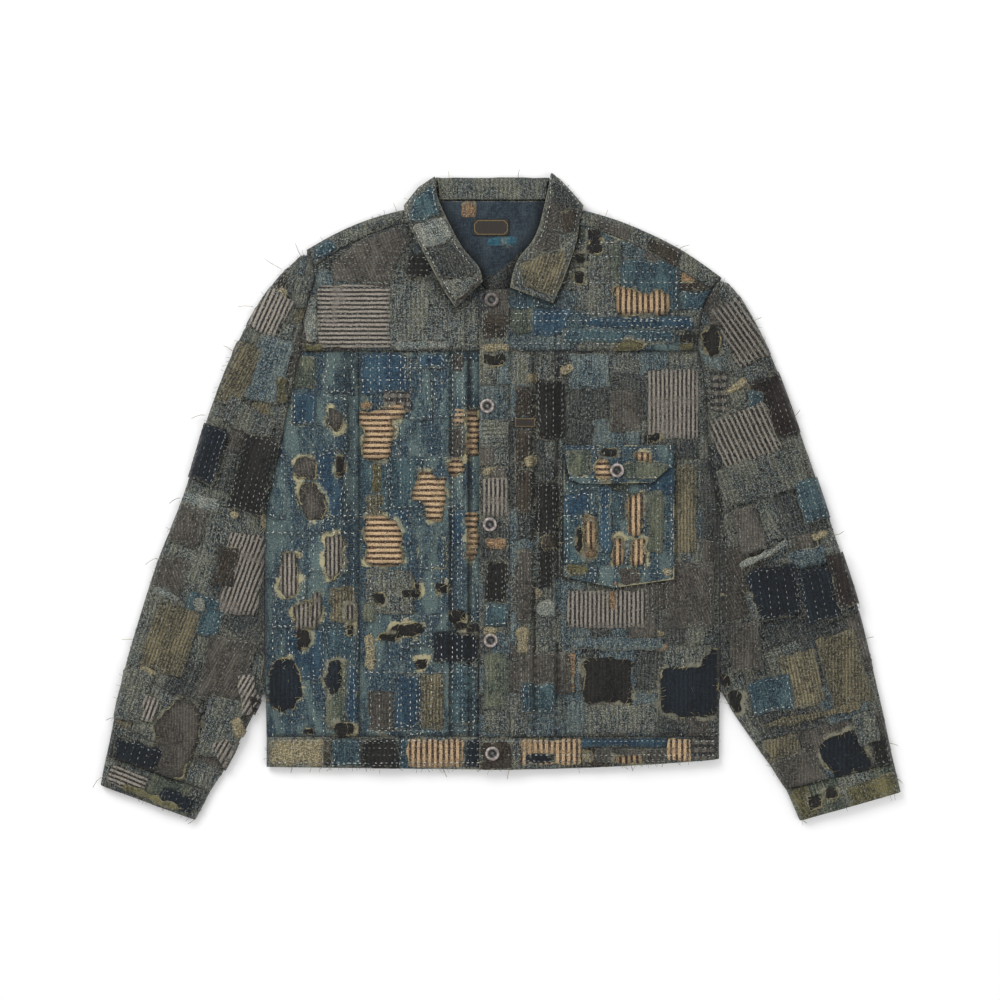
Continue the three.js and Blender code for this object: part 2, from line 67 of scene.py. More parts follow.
# How the layers lie
SEAM = 0.4  # gap between two pieces
LAID = 9.6  # height of the front and back layers together
MIDDLE = LAID / 2
ROLL = 10.0  # reach of the front's round at a folded edge
UNDER_ROLL = 5.0  # reach of the back's round
OVERLAP_RISE = 3.4  # lift of the left front over the right one
COLLAR_LIFT = 2.4  # lift of the neck over the collar's back
UNDER_ROOM = 1.0  # room under the ground cloth of the back for its patches
# Seams, edges and pleats
YOKE_Y = 171.0
WAIST_Y = -272.0
SIDE_X = -163.0  # between side panel and centre panel
BAND_EDGE_X = -25.0  # free edge of the buttonhole band
BAND_SEAM_X = 10.0
UNDER_EDGE_X = 5.0  # edge of the right front, under the band
PLEATS = (-60.0, -39.0, 40.0, 66.0)
PLEAT_RISE = 2.1

ARMHOLE_RIGHT = [[-224, 288], [-215, 268], [-214, 250], [-221, 228], [-227, 205],
                 [-228.5, 182], [-229.5, 171], [-237, 140], [-244, 110], [-250, 80],
                 [-256, 50], [-263, 20], [-272, -20]]
ARMHOLE_LEFT = [[254, 256], [243, 242], [236, 229], [231, 215], [227.5, 199], [226, 182],
                [226.5, 171], [231.5, 150], [236, 120], [237, 90], [238.5, 60], [243, 30],
                [252, -20]]
SIDE_RIGHT = [[-272, -20], [-272, -70], [-272, -120], [-271.5, -170], [-271, -220],
              [-270, -272], [-270, -307]]
SIDE_LEFT = [[252, -20], [252, -70], [252, -120], [252, -170], [251.5, -220], [251, -272],
             [251, -298]]
SHOULDER_RIGHT = [[-224, 288], [-192, 306], [-158, 321], [-120, 332], [-84, 338]]
SHOULDER_LEFT = [[254, 256], [206, 289], [150, 316], [104, 331], [66, 338]]
NECKLINE = [[-84, 338], [-58, 341], [-10, 341], [40, 341], [66, 338]]
SHOULDER_SEAM_RIGHT = [[-215, 268], [-186, 288], [-150, 306], [-118, 317], [-86, 322]]
SHOULDER_SEAM_LEFT = [[243, 242], [200, 268], [150, 296], [108, 312], [74, 320]]
OUTER_RIGHT = [[-224, 288], [-265, 245], [-299, 189], [-333, 109], [-367, 0], [-397, -75],
               [-432, -190], [-449, -270], [-461, -328]]
OUTER_LEFT = [[254, 256], [277, 230], [312, 163], [345, 75], [382, -35], [411, -125],
              [434, -220], [450, -294], [460, -336]]
INNER_RIGHT = [[-272.4, -20], [-272.4, -60], [-272.4, -120], [-272.1, -170], [-272, -220],
               [-290, -256], [-304, -283], [-319, -311], [-335, -335], [-352, -368]]
INNER_LEFT = [[252.4, -20], [252.4, -60], [252.4, -120], [252.4, -170], [252.4, -218],
              [268, -246], [284, -269], [308, -302], [328, -332], [344, -369]]
CUFF_SHARE = 0.945  # share of the sleeve's outer edge above the cuff

# Soft ridges of the upper layer: from, to, half width, rise
CREASES = [
    ((-162, 168), (-160, -262), 6, 2.4), ((-60, 166), (-60, -262), 5, 2.2),
    ((-39, 166), (-38, -262), 5, 2.0), ((40, 166), (38, -262), 6, 2.2),
    ((66, 166), (66, -262), 6, 2.2), ((96, 150), (108, 96), 10, 1.4),
    ((80, -170), (130, -250), 12, 1.8), ((-120, -160), (-90, -250), 12, 1.8),
    ((-200, -60), (-248, -140), 12, 1.6), ((-330, 20), (-288, -20), 14, 1.8),
    ((-400, -150), (-330, -175), 16, 2.2), ((-430, -250), (-350, -290), 14, 1.8),
    ((300, 20), (350, -10), 14, 1.8), ((290, -130), (400, -165), 16, 2.2),
    ((330, -250), (430, -275), 14, 1.8),
]
# Smaller slack that the solid doesn't have, placed the same way
SLACK = [
    ((20, 60), (26, -150), 5, 1.0), ((52, 40), (50, -180), 4, 1.2), ((24, -30), (36, -130), 4, 1.4),
    ((215, -50), (240, -120), 5, 1.6), ((214, 130), (236, 40), 7, 1.3),
    ((123, 130), (123, 66), 4, 1.2), ((150, -160), (186, -250), 7, 1.3),
    ((22, -180), (44, -262), 6, 1.4), ((112, -180), (100, -262), 5, 1.0),
    ((-150, -200), (-128, -262), 6, 1.2), ((-70, -190), (-90, -262), 6, 1.2),
    ((-240, 110), (-206, 40), 6, 1.2), ((-190, -180), (-172, -262), 5, 1.2),
    ((-262, 60), (-240, -30), 7, 1.4), ((-220, 250), (-150, 200), 8, 0.9),
    ((-230, 180), (-170, 240), 7, 0.8), ((-110, 300), (-90, 240), 7, 0.9),
    ((210, 190), (150, 250), 8, 0.9), ((120, 310), (112, 220), 7, 0.9),
    ((-300, 150), (-262, 60), 8, 1.5), ((-345, 60), (-300, 40), 7, 1.4),
    ((-366, -30), (-300, -60), 8, 1.7), ((-385, -90), (-320, -130), 8, 1.5),
    ((-330, -145), (-356, -235), 6, 1.7), ((-410, -200), (-340, -225), 7, 1.4),
    ((-440, -290), (-380, -300), 6, 1.4), ((-290, -60), (-284, -190), 7, 1.3),
    ((-400, -240), (-370, -330), 6, 1.2), ((-300, -250), (-340, -320), 6, 1.4),
    ((266, 170), (296, 90), 7, 1.2), ((330, 70), (270, 50), 8, 1.3),
    ((258, 20), (276, -60), 7, 1.4), ((380, -60), (310, -80), 7, 1.3),
    ((400, -110), (330, -150), 7, 1.5), ((270, -100), (276, -200), 7, 1.4),
    ((425, -190), (350, -215), 8, 1.4), ((300, -230), (340, -300), 7, 1.3),
    ((440, -260), (380, -300), 7, 1.4), ((270, -180), (330, -235), 7, 1.2),
]


def ease(x, low, high):
    t = np.clip((x - low) / (high - low), 0, 1)
    return t * t * (3 - 2 * t)


# Lines


def through(points):
    """A line through each corner in equal steps of its parameter."""
    p = np.array(points, float)
    steps = np.arange(len(p))

    def line(t):
        return along_line(np.clip(np.asarray(t, float), 0, 1) * (len(p) - 1), steps, p)

    return line


def lengths(line):
    """How far along a line each of its corners is."""
    return np.concatenate([[0], np.cumsum(np.linalg.norm(np.diff(line, axis=0), axis=1))])


def along_line(s, length, line):
    return np.stack([np.interp(s, length, line[:, 0]), np.interp(s, length, line[:, 1])], -1)


def smooth(points):
    """A curve through each corner, by its length."""
    p = np.array(points, float)
    n = len(p)
    s = np.linspace(0, n - 1, 401)
    i = np.minimum(np.floor(s).astype(int), n - 1)
    t = (s - i)[:, None]
    p0, p1 = p[np.maximum(i - 1, 0)], p[i]
    p2, p3 = p[np.minimum(i + 1, n - 1)], p[np.minimum(i + 2, n - 1)]
    v0, v1 = (p2 - p0) / 2, (p3 - p1) / 2
    q = (2 * p1 - 2 * p2 + v0 + v1) * t**3 + (-3 * p1 + 3 * p2 - 2 * v0 - v1) * t**2 + v0 * t + p1
    length = lengths(q)
    length /= length[-1]
    return lambda t: along_line(np.clip(np.asarray(t, float), 0, 1), length, q)


def reversed_line(line):
    return lambda t: line(1 - np.asarray(t, float))


def flank(points, top):
    """The side edge of a panel, shortened at the seams it ends on."""
    p = [list(q) for q in points]
    p[0][1] -= top
    p[-1][1] += SEAM / 2
    return through(p)


def edge(line, inward):
    """A folded edge as its segments, with a direction into the cloth."""
    p = line(np.linspace(0, 1, 41))
    return p[:-1], p[1:], np.tile(np.array(inward, float), (40, 1))


def edges_of(*edges):
    return tuple(np.concatenate(part) for part in zip(*edges))


def to_segments(p, start, end):
    """Distance from each point to its nearest segment, the way from there, and which it is."""
    best = np.full(len(p), np.inf)
    away = np.zeros((len(p), 2))
    which = np.zeros(len(p), int)
    for k, (a, b) in enumerate(zip(start, end)):
        along = b - a
        share = np.clip(((p - a) @ along) / max(along @ along, 1e-9), 0, 1)
        off = p - a - share[:, None] * along
        d = np.hypot(off[:, 0], off[:, 1])
        nearer = d < best
        best[nearer], away[nearer], which[nearer] = d[nearer], off[nearer], k
    return best, away, which


def to_outline(p, outline):
    """Distance of each point to a closed outline."""
    return to_segments(p, outline, np.roll(outline, -1, axis=0))[0]


def near_line(p, line):
    """Distance of each point to an open line of corners."""
    return to_segments(p, line[:-1], line[1:])[0]


def close_to(p, outline, reach=0.0):
    """Which points lie in an outline's box, or less than reach from it."""
    low, high = outline.min(axis=0) - reach, outline.max(axis=0) + reach
    return ((p > low) & (p < high)).all(axis=1)


def falloff(distance, reach):
    return np.exp(-((distance / reach) ** 2))


def inside(p, outline):
    """Which points lie inside a closed outline."""
    x, y = p[:, 0], p[:, 1]
    odd = np.zeros(len(p), bool)
    for (ax, ay), (bx, by) in zip(outline, np.roll(outline, -1, axis=0)):
        if ay != by:
            odd ^= ((ay > y) != (by > y)) & (x < (bx - ax) * (y - ay) / (by - ay) + ax)
    return odd


shoulder_right, shoulder_left = smooth(SHOULDER_RIGHT), smooth(SHOULDER_LEFT)
outer_right, outer_left = smooth(OUTER_RIGHT), smooth(OUTER_LEFT)
SHOULDERS = [edge(shoulder_right, (0.4, -1)), edge(shoulder_left, (-0.4, -1)),
             edge(outer_right, (1, -0.4)), edge(outer_left, (-1, -0.4))]
BODY_EDGES = edges_of(*SHOULDERS, edge(through(SIDE_RIGHT), (1, 0)),
                      edge(through(SIDE_LEFT), (-1, 0)))
SLEEVE_EDGES = edges_of(*SHOULDERS, edge(through(INNER_RIGHT), (-1, 0.3)),
                        edge(through(INNER_LEFT), (1, 0.3)))

# Heights


def noise(x, y, size, seed):
    """Soft random heights between -1 and 1 on a lattice of the given size."""
    table = np.random.default_rng(seed).uniform(-1, 1, (64, 64))
    gx, gy = x / size + 1000, y / size + 1000
    ix, iy = np.floor(gx).astype(int), np.floor(gy).astype(int)
    fx, fy = gx - ix, gy - iy
    fx, fy = fx * fx * (3 - 2 * fx), fy * fy * (3 - 2 * fy)
    a, b = table[ix % 64, iy % 64], table[(ix + 1) % 64, iy % 64]
    c, d = table[ix % 64, (iy + 1) % 64], table[(ix + 1) % 64, (iy + 1) % 64]
    return (a * (1 - fx) + b * fx) * (1 - fy) + (c * (1 - fx) + d * fx) * fy


def ridges(p, table):
    total = np.zeros(len(p))
    for start, end, width, rise in table:
        total += rise * falloff(near_line(p, np.array([start, end], float)), width)
    return total


def pleats(p):
    """Each pleat climbs over 14 mm and drops at its fold; it stops at the yoke and hem band."""
    total = np.zeros(len(p))
    for x in PLEATS:
        side = 1 if x < 0 else -1
        into = (p[:, 0] - x) * side
        total += PLEAT_RISE * ease(into, -15, -1) * (1 - ease(into, 0, 1.2))
    return total * ease(p[:, 1], -275, -255) * (1 - ease(p[:, 1], 162, 171))


# Unevenness that patching and darning leave: height, size, squeeze across and along, seed
CRUMPLES = ((0.7, 46, 1.0, 1.0, 1), (0.55, 19, 1.3, 0.8, 2), (0.34, 7.5, 1.25, 1.0, 3))


def crumple(p):
    return sum(height * noise(p[:, 0] * across, p[:, 1] * along, size, seed)
               for height, size, across, along, seed in CRUMPLES)


def neck_lift(p):
    return COLLAR_LIFT * ease(p[:, 1], 262, 298) * (1 - ease(np.abs(p[:, 0] + 9), 104, 150))


def overlap_rise(p):
    return OVERLAP_RISE * (1 - ease(p[:, 0], BAND_SEAM_X + 6, BAND_SEAM_X + 26))


def front_band_rise(p):
    return OVERLAP_RISE * (1 - ease(p[:, 0], BAND_SEAM_X, BAND_SEAM_X + 20))


def no_rise(p):
    return np.zeros(len(p))


def slack_height(p):
    return ridges(p, CREASES) + ridges(p, SLACK) + pleats(p) + crumple(p)


def on_layer(p, edges, side, rise=no_rise):
    """Points of the outer face of a layer, and the way its wall leans there."""
    d, away, which = to_segments(p, edges[0], edges[1])
    along = edges[1][which] - edges[0][which]
    square = np.stack([-along[:, 1], along[:, 0]], -1)
    square /= np.linalg.norm(square, axis=1)[:, None]
    square *= np.sign(np.sum(square * edges[2][which], axis=1))[:, None]
    into = np.where(d[:, None] > 0.5, away / np.maximum(d, 1e-6)[:, None], square)
    roll = ROLL if side > 0 else UNDER_ROLL
    rest = 1 - np.minimum(d, roll) / roll
    level = np.sqrt(1 - rest**2)
    if side > 0:
        bulge = MIDDLE - SEAM / 2 + slack_height(p) + rise(p)
    else:
        bulge = MIDDLE - SEAM / 2 - UNDER_ROOM + 0.3 * noise(p[:, 0], p[:, 1], 30, 5)
    z = neck_lift(p) + MIDDLE + side * (SEAM / 2 + bulge * level)
    return np.column_stack([p, z]), np.column_stack([-into * rest[:, None], side * level])


def upright(p, z):
    return np.column_stack([p, z]), np.tile([0.0, 0.0, 1.0], (len(p), 1))


# Surfaces: each gives the points of a face over the pattern, and the way its wall leans


def over(edges, rise=no_rise):
    return lambda p: on_layer(p, edges, 1, rise)


def under(edges):
    return lambda p: on_layer(p, edges, -1)


def at_height(height):
    return lambda p: upright(p, height(p))


# Plans: each gives the pattern's points for a piece's (u, v)


def ruled(left, right):
    return lambda u, v: left(v) * (1 - u)[:, None] + right(v) * u[:, None]


def coons(top, bottom, left, right):
    def plan(u, v):
        w, t = u[:, None], v[:, None]
        corners = ((top(0 * u) * (1 - w) + top(0 * u + 1) * w) * (1 - t)
                   + (bottom(0 * u) * (1 - w) + bottom(0 * u + 1) * w) * t)
        return top(u) * (1 - t) + bottom(u) * t + left(v) * (1 - w) + right(v) * w - corners
    return plan


def flat_top(p):
    return LAID + slack_height(p) + neck_lift(p)


def left_front_top(p):
    return flat_top(p) + overlap_rise(p)


# Stops of a piece's grid, in mm, closer together at a folded edge and at a pleat


def stops(width, step, folds=(False, False), extra=()):
    close = np.array([0, 0.3, 1, 2.2, 4, 6.2, 9])
    fold_room, pleat_room, pleat_step = 11, 1.8, 1.4
    marks = list(np.linspace(0, width, max(2, round(width / step)) + 1))
    if folds[0]:
        marks = [m for m in marks if m > fold_room] + list(close)
    if folds[1]:
        marks = [m for m in marks if m < width - fold_room] + list(width - close)
    for x in extra:
        marks = ([m for m in marks if abs(m - x) > pleat_room]
                 + [x - pleat_step, x, x + pleat_step])
    return np.array(sorted(marks)) / width


def evenly(count, low=0.0, high=1.0):
    return np.linspace(low, high, count + 1)


# Meshes

# From the pattern to the frame: the pocket's upper right corner is known in both
POCKET_EDGE_X, POCKET_TOP_Y = 72, 46
pocket_low, pocket_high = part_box("pocket")
SHIFT = np.array([pocket_low.x / MM - POCKET_EDGE_X, pocket_high.y / MM - POCKET_TOP_Y, 0.0])


def build(name, verts, faces, weave, shade=None, tint=None, worn=None, materials=(), which=None):
    """One mesh in metres. weave is each corner's place in the cloth, in mm."""
    mesh = bpy.data.meshes.new(name)
    mesh.from_pydata(((np.asarray(verts) + SHIFT) * MM).tolist(), [], faces)
    weave = np.asarray(weave, float)
    corner = np.empty(len(mesh.loops), int)
    mesh.loops.foreach_get("vertex_index", corner)
    mesh.uv_layers.new(name="weave").data.foreach_set("uv", weave[corner].ravel())
    for label, values, usual in (("shade", shade, 0.0), ("tint", tint, 1.0), ("worn", worn, 0.0)):
        values = np.full(len(verts), usual) if values is None else np.asarray(values, float)
        mesh.attributes.new(label, "FLOAT", "POINT").data.foreach_set("value", values)
    for material in materials:
        mesh.materials.append(material)
    if which is not None:
        mesh.polygons.foreach_set("material_index", np.asarray(which, int))
    mesh.polygons.foreach_set("use_smooth", np.ones(len(mesh.polygons), bool))
    mesh.update()
    obj = bpy.data.objects.new(name, mesh)
    bpy.context.scene.collection.objects.link(obj)
    return obj


def closed_grid(outer, inner, across, down):
    """Faces of a closed wall between two grids of across x down corners."""
    half = len(outer)
    i, j = np.meshgrid(np.arange(across - 1), np.arange(down - 1))
    a = (j * across + i).ravel()
    quads = np.stack([a, a + 1, a + 1 + across, a + across], -1)
    rim = ([(i, 0) for i in range(across - 1)] + [(across - 1, j) for j in range(down - 1)]
           + [(i, down - 1) for i in range(across - 1, 0, -1)]
           + [(0, j) for j in range(down - 1, 0, -1)])
    rim = np.array([j * across + i for i, j in rim])
    nxt = np.roll(rim, -1)
    side = np.stack([nxt, rim, rim + half, nxt + half], -1)
    faces = np.concatenate([quads, quads[:, ::-1] + half, side])
    verts = np.concatenate([outer, inner])
    a, b, c, d = (verts[faces[:, k]] for k in range(4))
    volume = np.sum(a * np.cross(b, c)) + np.sum(a * np.cross(c, d))
    return verts, (faces if volume > 0 else faces[:, ::-1])


# The cut pieces


class Piece:
    """A face in its own (u, v), the grid it is made on, and most also a surface."""

    def __init__(self, face, us, vs, thickness, surface=None):
        self.face, self.us, self.vs = face, us, vs
        self.thickness, self.surface = thickness, surface

    def outline(self, across=(0, 1)):
        """The piece's edge over the pattern."""
        low, high = across
        t, one = evenly(40), np.ones(41)
        u = np.concatenate([low + (high - low) * t, high * one, high - (high - low) * t, low * one])
        v = np.concatenate([0 * t, t, one, 1 - t])
        return self.face(u, v)[0][:, :2]


def laid_on(surface, plan, us, vs, thickness=WALL):
    return Piece(lambda u, v: surface(plan(u, v)), us, vs, thickness, surface)


def level_with(x, flank):
    def line(t):
        p = flank(t)
        return np.stack([np.full(len(p), float(x)), p[:, 1]], -1)
    return line


on_body, on_left_body = over(BODY_EDGES), over(BODY_EDGES, overlap_rise)
under_body = under(BODY_EDGES)
flank_right = flank([*ARMHOLE_RIGHT[6:], *SIDE_RIGHT[1:6]], SEAM / 2)
flank_left = flank([*ARMHOLE_LEFT[6:], *SIDE_LEFT[1:6]], SEAM / 2)
front_rows = stops(443, 4.2)
pieces = {
    "front_side_panel_right": laid_on(
        on_body, ruled(flank_right, level_with(SIDE_X - SEAM, flank_right)),
        stops(98, 4.0, (True, False)), front_rows),
    "front_panel_right": laid_on(
        on_body, ruled(level_with(SIDE_X, flank_right), level_with(UNDER_EDGE_X, flank_right)),
        stops(168, 4.0, extra=(103, 124)), front_rows),
    "front_panel_left": laid_on(
        on_left_body, ruled(level_with(BAND_SEAM_X + SEAM, flank_left), flank_left),
        stops(236, 4.0, (False, True), extra=(29, 55)), front_rows),
}

seam_right, seam_left = through(SHOULDER_SEAM_RIGHT), through(SHOULDER_SEAM_LEFT)


def below(line):
    return lambda t: line(t) - np.array([0, 2 * SEAM])


YOKE_FOOT = YOKE_Y + SEAM / 2
yoke_end_right = through([[-86, 322 - 2 * SEAM], [-72, 302], [-52, 276], [-30, 256],
                          [UNDER_EDGE_X - 20, 238], [UNDER_EDGE_X, YOKE_FOOT]])
yoke_end_left = through([[74, 320 - 2 * SEAM], [58, 300], [42, 278], [26, 262],
                         [BAND_SEAM_X + SEAM, 244], [BAND_SEAM_X + SEAM, YOKE_FOOT]])
pieces["front_yoke_right"] = laid_on(
    on_body, coons(below(seam_right), through([[-229.5, YOKE_FOOT], [UNDER_EDGE_X, YOKE_FOOT]]),
                   flank(ARMHOLE_RIGHT[1:7], 2 * SEAM), yoke_end_right), evenly(56), evenly(36))
pieces["front_yoke_left"] = laid_on(
    on_left_body, coons(reversed_line(below(seam_left)),
                        through([[BAND_SEAM_X + SEAM, YOKE_FOOT], [226.5, YOKE_FOOT]]),
                        yoke_end_left, flank(ARMHOLE_LEFT[1:7], 2 * SEAM)),
    evenly(56), evenly(36))


def band_top(p):
    return flat_top(p) + OVERLAP_RISE


pieces["buttonhole_band"] = laid_on(
    at_height(band_top),
    ruled(through([[BAND_EDGE_X, 240], [BAND_EDGE_X, WAIST_Y + SEAM / 2]]),
          through([[BAND_SEAM_X, 243], [BAND_SEAM_X, WAIST_Y + SEAM / 2]])),
    stops(35, 3.2), stops(514, 3.4))


def waistband(low, high):
    """The hem band from x low to high; its foot sags a little to each side of the opening."""
    def plan(u, v):
        x = low + (high - low) * u
        hem = np.where(x < -13, -307 - 3 * (x + 270) / 257, -310 + 12 * ((x + 13) / 264) ** 2)
        top = WAIST_Y - SEAM / 2
        return np.stack([x, top + (hem - top) * v], -1)
    return plan


pieces["waistband_front_right"] = laid_on(
    on_body, waistband(-270, UNDER_EDGE_X), stops(275, 3.2, (True, False)), evenly(12))
pieces["waistband_front_left"] = laid_on(
    over(BODY_EDGES, front_band_rise), waistband(BAND_EDGE_X, 251),
    stops(276, 3.2, (False, True)), evenly(12))
pieces["waistband_back"] = laid_on(
    under_body, waistband(-270, 251), stops(521, 8, (True, True)), evenly(5))
pieces["back_panel"] = laid_on(
    under_body, ruled(flank([*ARMHOLE_RIGHT[5:], *SIDE_RIGHT[1:6]], SEAM),
                      flank([*ARMHOLE_LEFT[5:], *SIDE_LEFT[1:6]], SEAM)),
    stops(500, 7.5, (True, True)), stops(453, 7.5))

# The back yoke goes up the back, over the shoulders and down to the seams on the front
SHOULDER_SHARE = 0.35  # share of its width on each side of the neck
neckline = through(NECKLINE)


def across_yoke(right, middle, left):
    def line(u):
        u = np.asarray(u, float)
        r = right(u / SHOULDER_SHARE)
        m = middle((u - SHOULDER_SHARE) / (1 - 2 * SHOULDER_SHARE))
        s = left((1 - u) / SHOULDER_SHARE)
        return np.where((u < SHOULDER_SHARE)[:, None], r,
                        np.where((u > 1 - SHOULDER_SHARE)[:, None], s, m))
    return line


yoke_top = across_yoke(shoulder_right, neckline, shoulder_left)
yoke_turn = across_yoke(seam_right, lambda t: neckline(t) + np.array([0, 1.0]), seam_left)
back_yoke_plan = coons(
    through([ARMHOLE_RIGHT[5], ARMHOLE_LEFT[5]]), yoke_top,
    through(ARMHOLE_RIGHT[:6][::-1]), through(ARMHOLE_LEFT[:6][::-1]))


def back_yoke_face(u, v):
    under_at, under_lean = under_body(back_yoke_plan(u, np.minimum(v, 1)))
    w = np.clip(v - 1, 0, 1)[:, None]
    p = yoke_top(u) * (1 - w) + yoke_turn(u) * w
    over_at, over_lean = on_body(p)
    neck_at, neck_lean = under_body(p)
    shoulder = (np.abs(u - 0.5) > 0.5 - SHOULDER_SHARE)[:, None]
    turned = v[:, None] > 1
    at = np.where(turned, np.where(shoulder, over_at, neck_at), under_at)
    return at, np.where(turned, np.where(shoulder, over_lean, neck_lean), under_lean)


pieces["back_yoke"] = Piece(
    back_yoke_face,
    np.concatenate([evenly(34, 0, SHOULDER_SHARE - 1e-6),
                    evenly(16, SHOULDER_SHARE + 0.012, 1 - SHOULDER_SHARE - 0.012),
                    evenly(34, 1 - SHOULDER_SHARE + 1e-6, 1)]),
    np.concatenate([evenly(20, 0, 0.94), [0.96, 0.98, 0.99, 0.997, 1, 1.006, 1.02, 1.05, 1.1],
                    evenly(10, 1.18, 2)]),
    WALL, on_body)

# A sleeve is one piece, folded along its outer edge, with its seam at the inner edge
on_sleeve, under_sleeve = over(SLEEVE_EDGES), under(SLEEVE_EDGES)
SLEEVE_WIDTH = 118  # as it lies, about
SLEEVE_COLUMNS = np.concatenate([stops(SLEEVE_WIDTH, 4.4, (True, True)) / 2,
                                 0.5 + stops(SLEEVE_WIDTH, 6.5, (True, True))[1:] / 2])


def folded_tube(inner, outer, vs):
    def face(u, v):
        w = np.where(u <= 0.5, 2 * u, 2 - 2 * u)[:, None]
        p = inner(v) * (1 - w) + outer(v) * w
        over_at, over_lean = on_sleeve(p)
        under_at, under_lean = under_sleeve(p)
        front = (u <= 0.5)[:, None]
        return np.where(front, over_at, under_at), np.where(front, over_lean, under_lean)
    return Piece(face, SLEEVE_COLUMNS, vs, WALL, on_sleeve)


sleeve_lines = {}  # inner and outer line of each sleeve and cuff
for name, armhole, inner_points, outer, shift in (
        ("right", ARMHOLE_RIGHT, INNER_RIGHT, outer_right, -0.1),
        ("left", ARMHOLE_LEFT, INNER_LEFT, outer_left, 0.1)):
    head = [[x + shift, y] for x, y in armhole[:-1]]
    head[0] = [(2 * head[0][0] + head[1][0]) / 3, (2 * head[0][1] + head[1][1]) / 3]
    rows = [*head, *inner_points[:-1]]
    armpit = len(head) / (len(rows) - 1)
    inner_line = through(rows)

    def outer_line(v, outer=outer, armpit=armpit):
        """The outer edge: 0.47 of the way down it is abreast of the armpit."""
        v = np.asarray(v, float)
        return outer(CUFF_SHARE * np.where(v < armpit, 0.015 + 0.455 * v / armpit,
                                           0.47 + 0.53 * (v - armpit) / (1 - armpit)))

    sleeve_lines[name] = (inner_line, outer_line)
    pieces[f"sleeve_{name}"] = folded_tube(inner_line, outer_line, evenly(130))
    top, tip = np.array(rows[-1], float), np.array(inner_points[-1], float)
    gap = (tip - top) / np.linalg.norm(tip - top) * SEAM
    hem_inner = through([top + gap, tip])
    hem_outer = through([outer(CUFF_SHARE) + gap, outer(1.0)])
    sleeve_lines[f"cuff_{name}"] = (hem_inner, hem_outer)
    pieces[f"cuff_{name}"] = folded_tube(hem_inner, hem_outer, evenly(9))

# Collar: two turned-down leaves, and a back that stands at the neck and falls behind it
LEAF_ROLL, LEAF_EDGE_Z = 14.0, 8.2  # reach of a leaf's fold, and its height there
LIP_DROP = 4.4  # how far its inner edge dips into the neck
FALL_RISE = LEAF_EDGE_Z - 2 * THIN - SEAM
fold_right = through([[-77, 372], [-95, 360], [-104, 349], [-112, 339]])
fold_left = through([[59, 376], [68, 369], [82, 354], [95, 339]])
FOLD_EDGES = edges_of(edge(fold_right, (1, -1)), edge(fold_left, (-1, -1)))


def leaf(fold, free, inner):
    def outer(t):
        return np.where((t < 0.25)[:, None], fold(t * 4), free((t - 0.25) / 0.75))

    def face(u, v):
        p = ruled(outer, inner)(u, v)
        d = to_segments(p, *FOLD_EDGES[:2])[0]
        level = np.sqrt(1 - (1 - np.minimum(d, LEAF_ROLL) / LEAF_ROLL) ** 2)
        top = (LAID + neck_lift(p) + overlap_rise(p) * ease(-p[:, 1], -300, -262)
               + SEAM + THIN + 1.2 + 0.9 * crumple(p) + 0.6)
        lip = LIP_DROP * ease(u, 0.9, 1) ** 2 * (1 - ease(v, 0.7, 0.95))
        curl = ease(0.3 - u, 0, 0.3) * (0.9 + 0.9 * noise(p[:, 0], p[:, 1], 21, 6))
        return upright(p, LEAF_EDGE_Z + (top - LEAF_EDGE_Z) * level - (lip - curl) * level)
    return face


pieces["collar_leaf_right"] = Piece(
    leaf(fold_right, smooth([[-112, 339], [-108, 320], [-92, 290], [-68, 245], [-52, 221]]),
         smooth([[-75, 370], [-74, 352], [-69, 338], [-58, 315], [-44, 290], [-26, 268],
                 [-21, 251]])), evenly(20), evenly(60), THIN)
pieces["collar_leaf_left"] = Piece(
    leaf(fold_left, smooth([[95, 339], [90, 320], [87, 298], [75, 262], [60, 226]]),
         smooth([[57, 375], [54, 358], [50, 340], [44, 316], [36, 298], [21, 279], [14, 262],
                 [10.5, 244]])), evenly(20), evenly(60), THIN)
# The back of the collar from its lip at the neck, over the fold and down: y and height, half width
STAND_PROFILE = np.array([[346, 7.4], [352, 7.8], [360, 7.6], [366, 6.8], [370, 5.4],
                          [371.5, 3.6], [370.5, 1.6], [367, 0.6], [361, 0.3], [350, 0.3],
                          [338, 0.3], [320, 0.3], [302, 0.3]])
STAND_HALF = np.array([61, 61.5, 62, 63, 64, 65, 65.5, 69, 78, 94, 102, 98, 93])


def stand_face(u, v):
    s = v * (len(STAND_PROFILE) - 1)
    steps = np.arange(len(STAND_PROFILE))
    fine = evenly(240, 0, len(STAND_PROFILE) - 1)
    kernel = np.array([1, 2, 3, 4, 5, 6, 7, 6, 5, 4, 3, 2, 1]) / 49
    soft = []
    for column in (0, 1):
        line = np.interp(fine, steps, STAND_PROFILE[:, column])
        soft.append(np.convolve(np.pad(line, 6, mode="reflect", reflect_type="odd"), kernel,
                                "valid"))
    y, z = (np.interp(s, fine, line) for line in soft)
    ty, tz = (np.interp(s, fine, np.gradient(line)) for line in soft)
    length = np.maximum(np.hypot(ty, tz), 1e-6)
    side = 2 * u - 1
    x = -9.5 + side * np.interp(s, steps, STAND_HALF)
    rise = (FALL_RISE * ease(np.abs(side), 0.88, 1) * ease(y, 336, 346) * ease(v, 0.55, 0.68)
            * (v >= 0.55))
    bulge = 0.5 * noise(x, s * 8, 13, 7) * (1 - ease(v, 0.45, 0.55))
    at = np.column_stack([x, y, z + rise])
    lean = np.column_stack([0 * x, -tz / length, ty / length])
    return at + lean * bulge[:, None], lean


pieces["collar_back"] = Piece(stand_face, evenly(44), evenly(66), THIN)


def lining_top(p):
    return neck_lift(p) + WALL + 0.7 + LINING + 0.25 * noise(p[:, 0], p[:, 1], 24, 8)


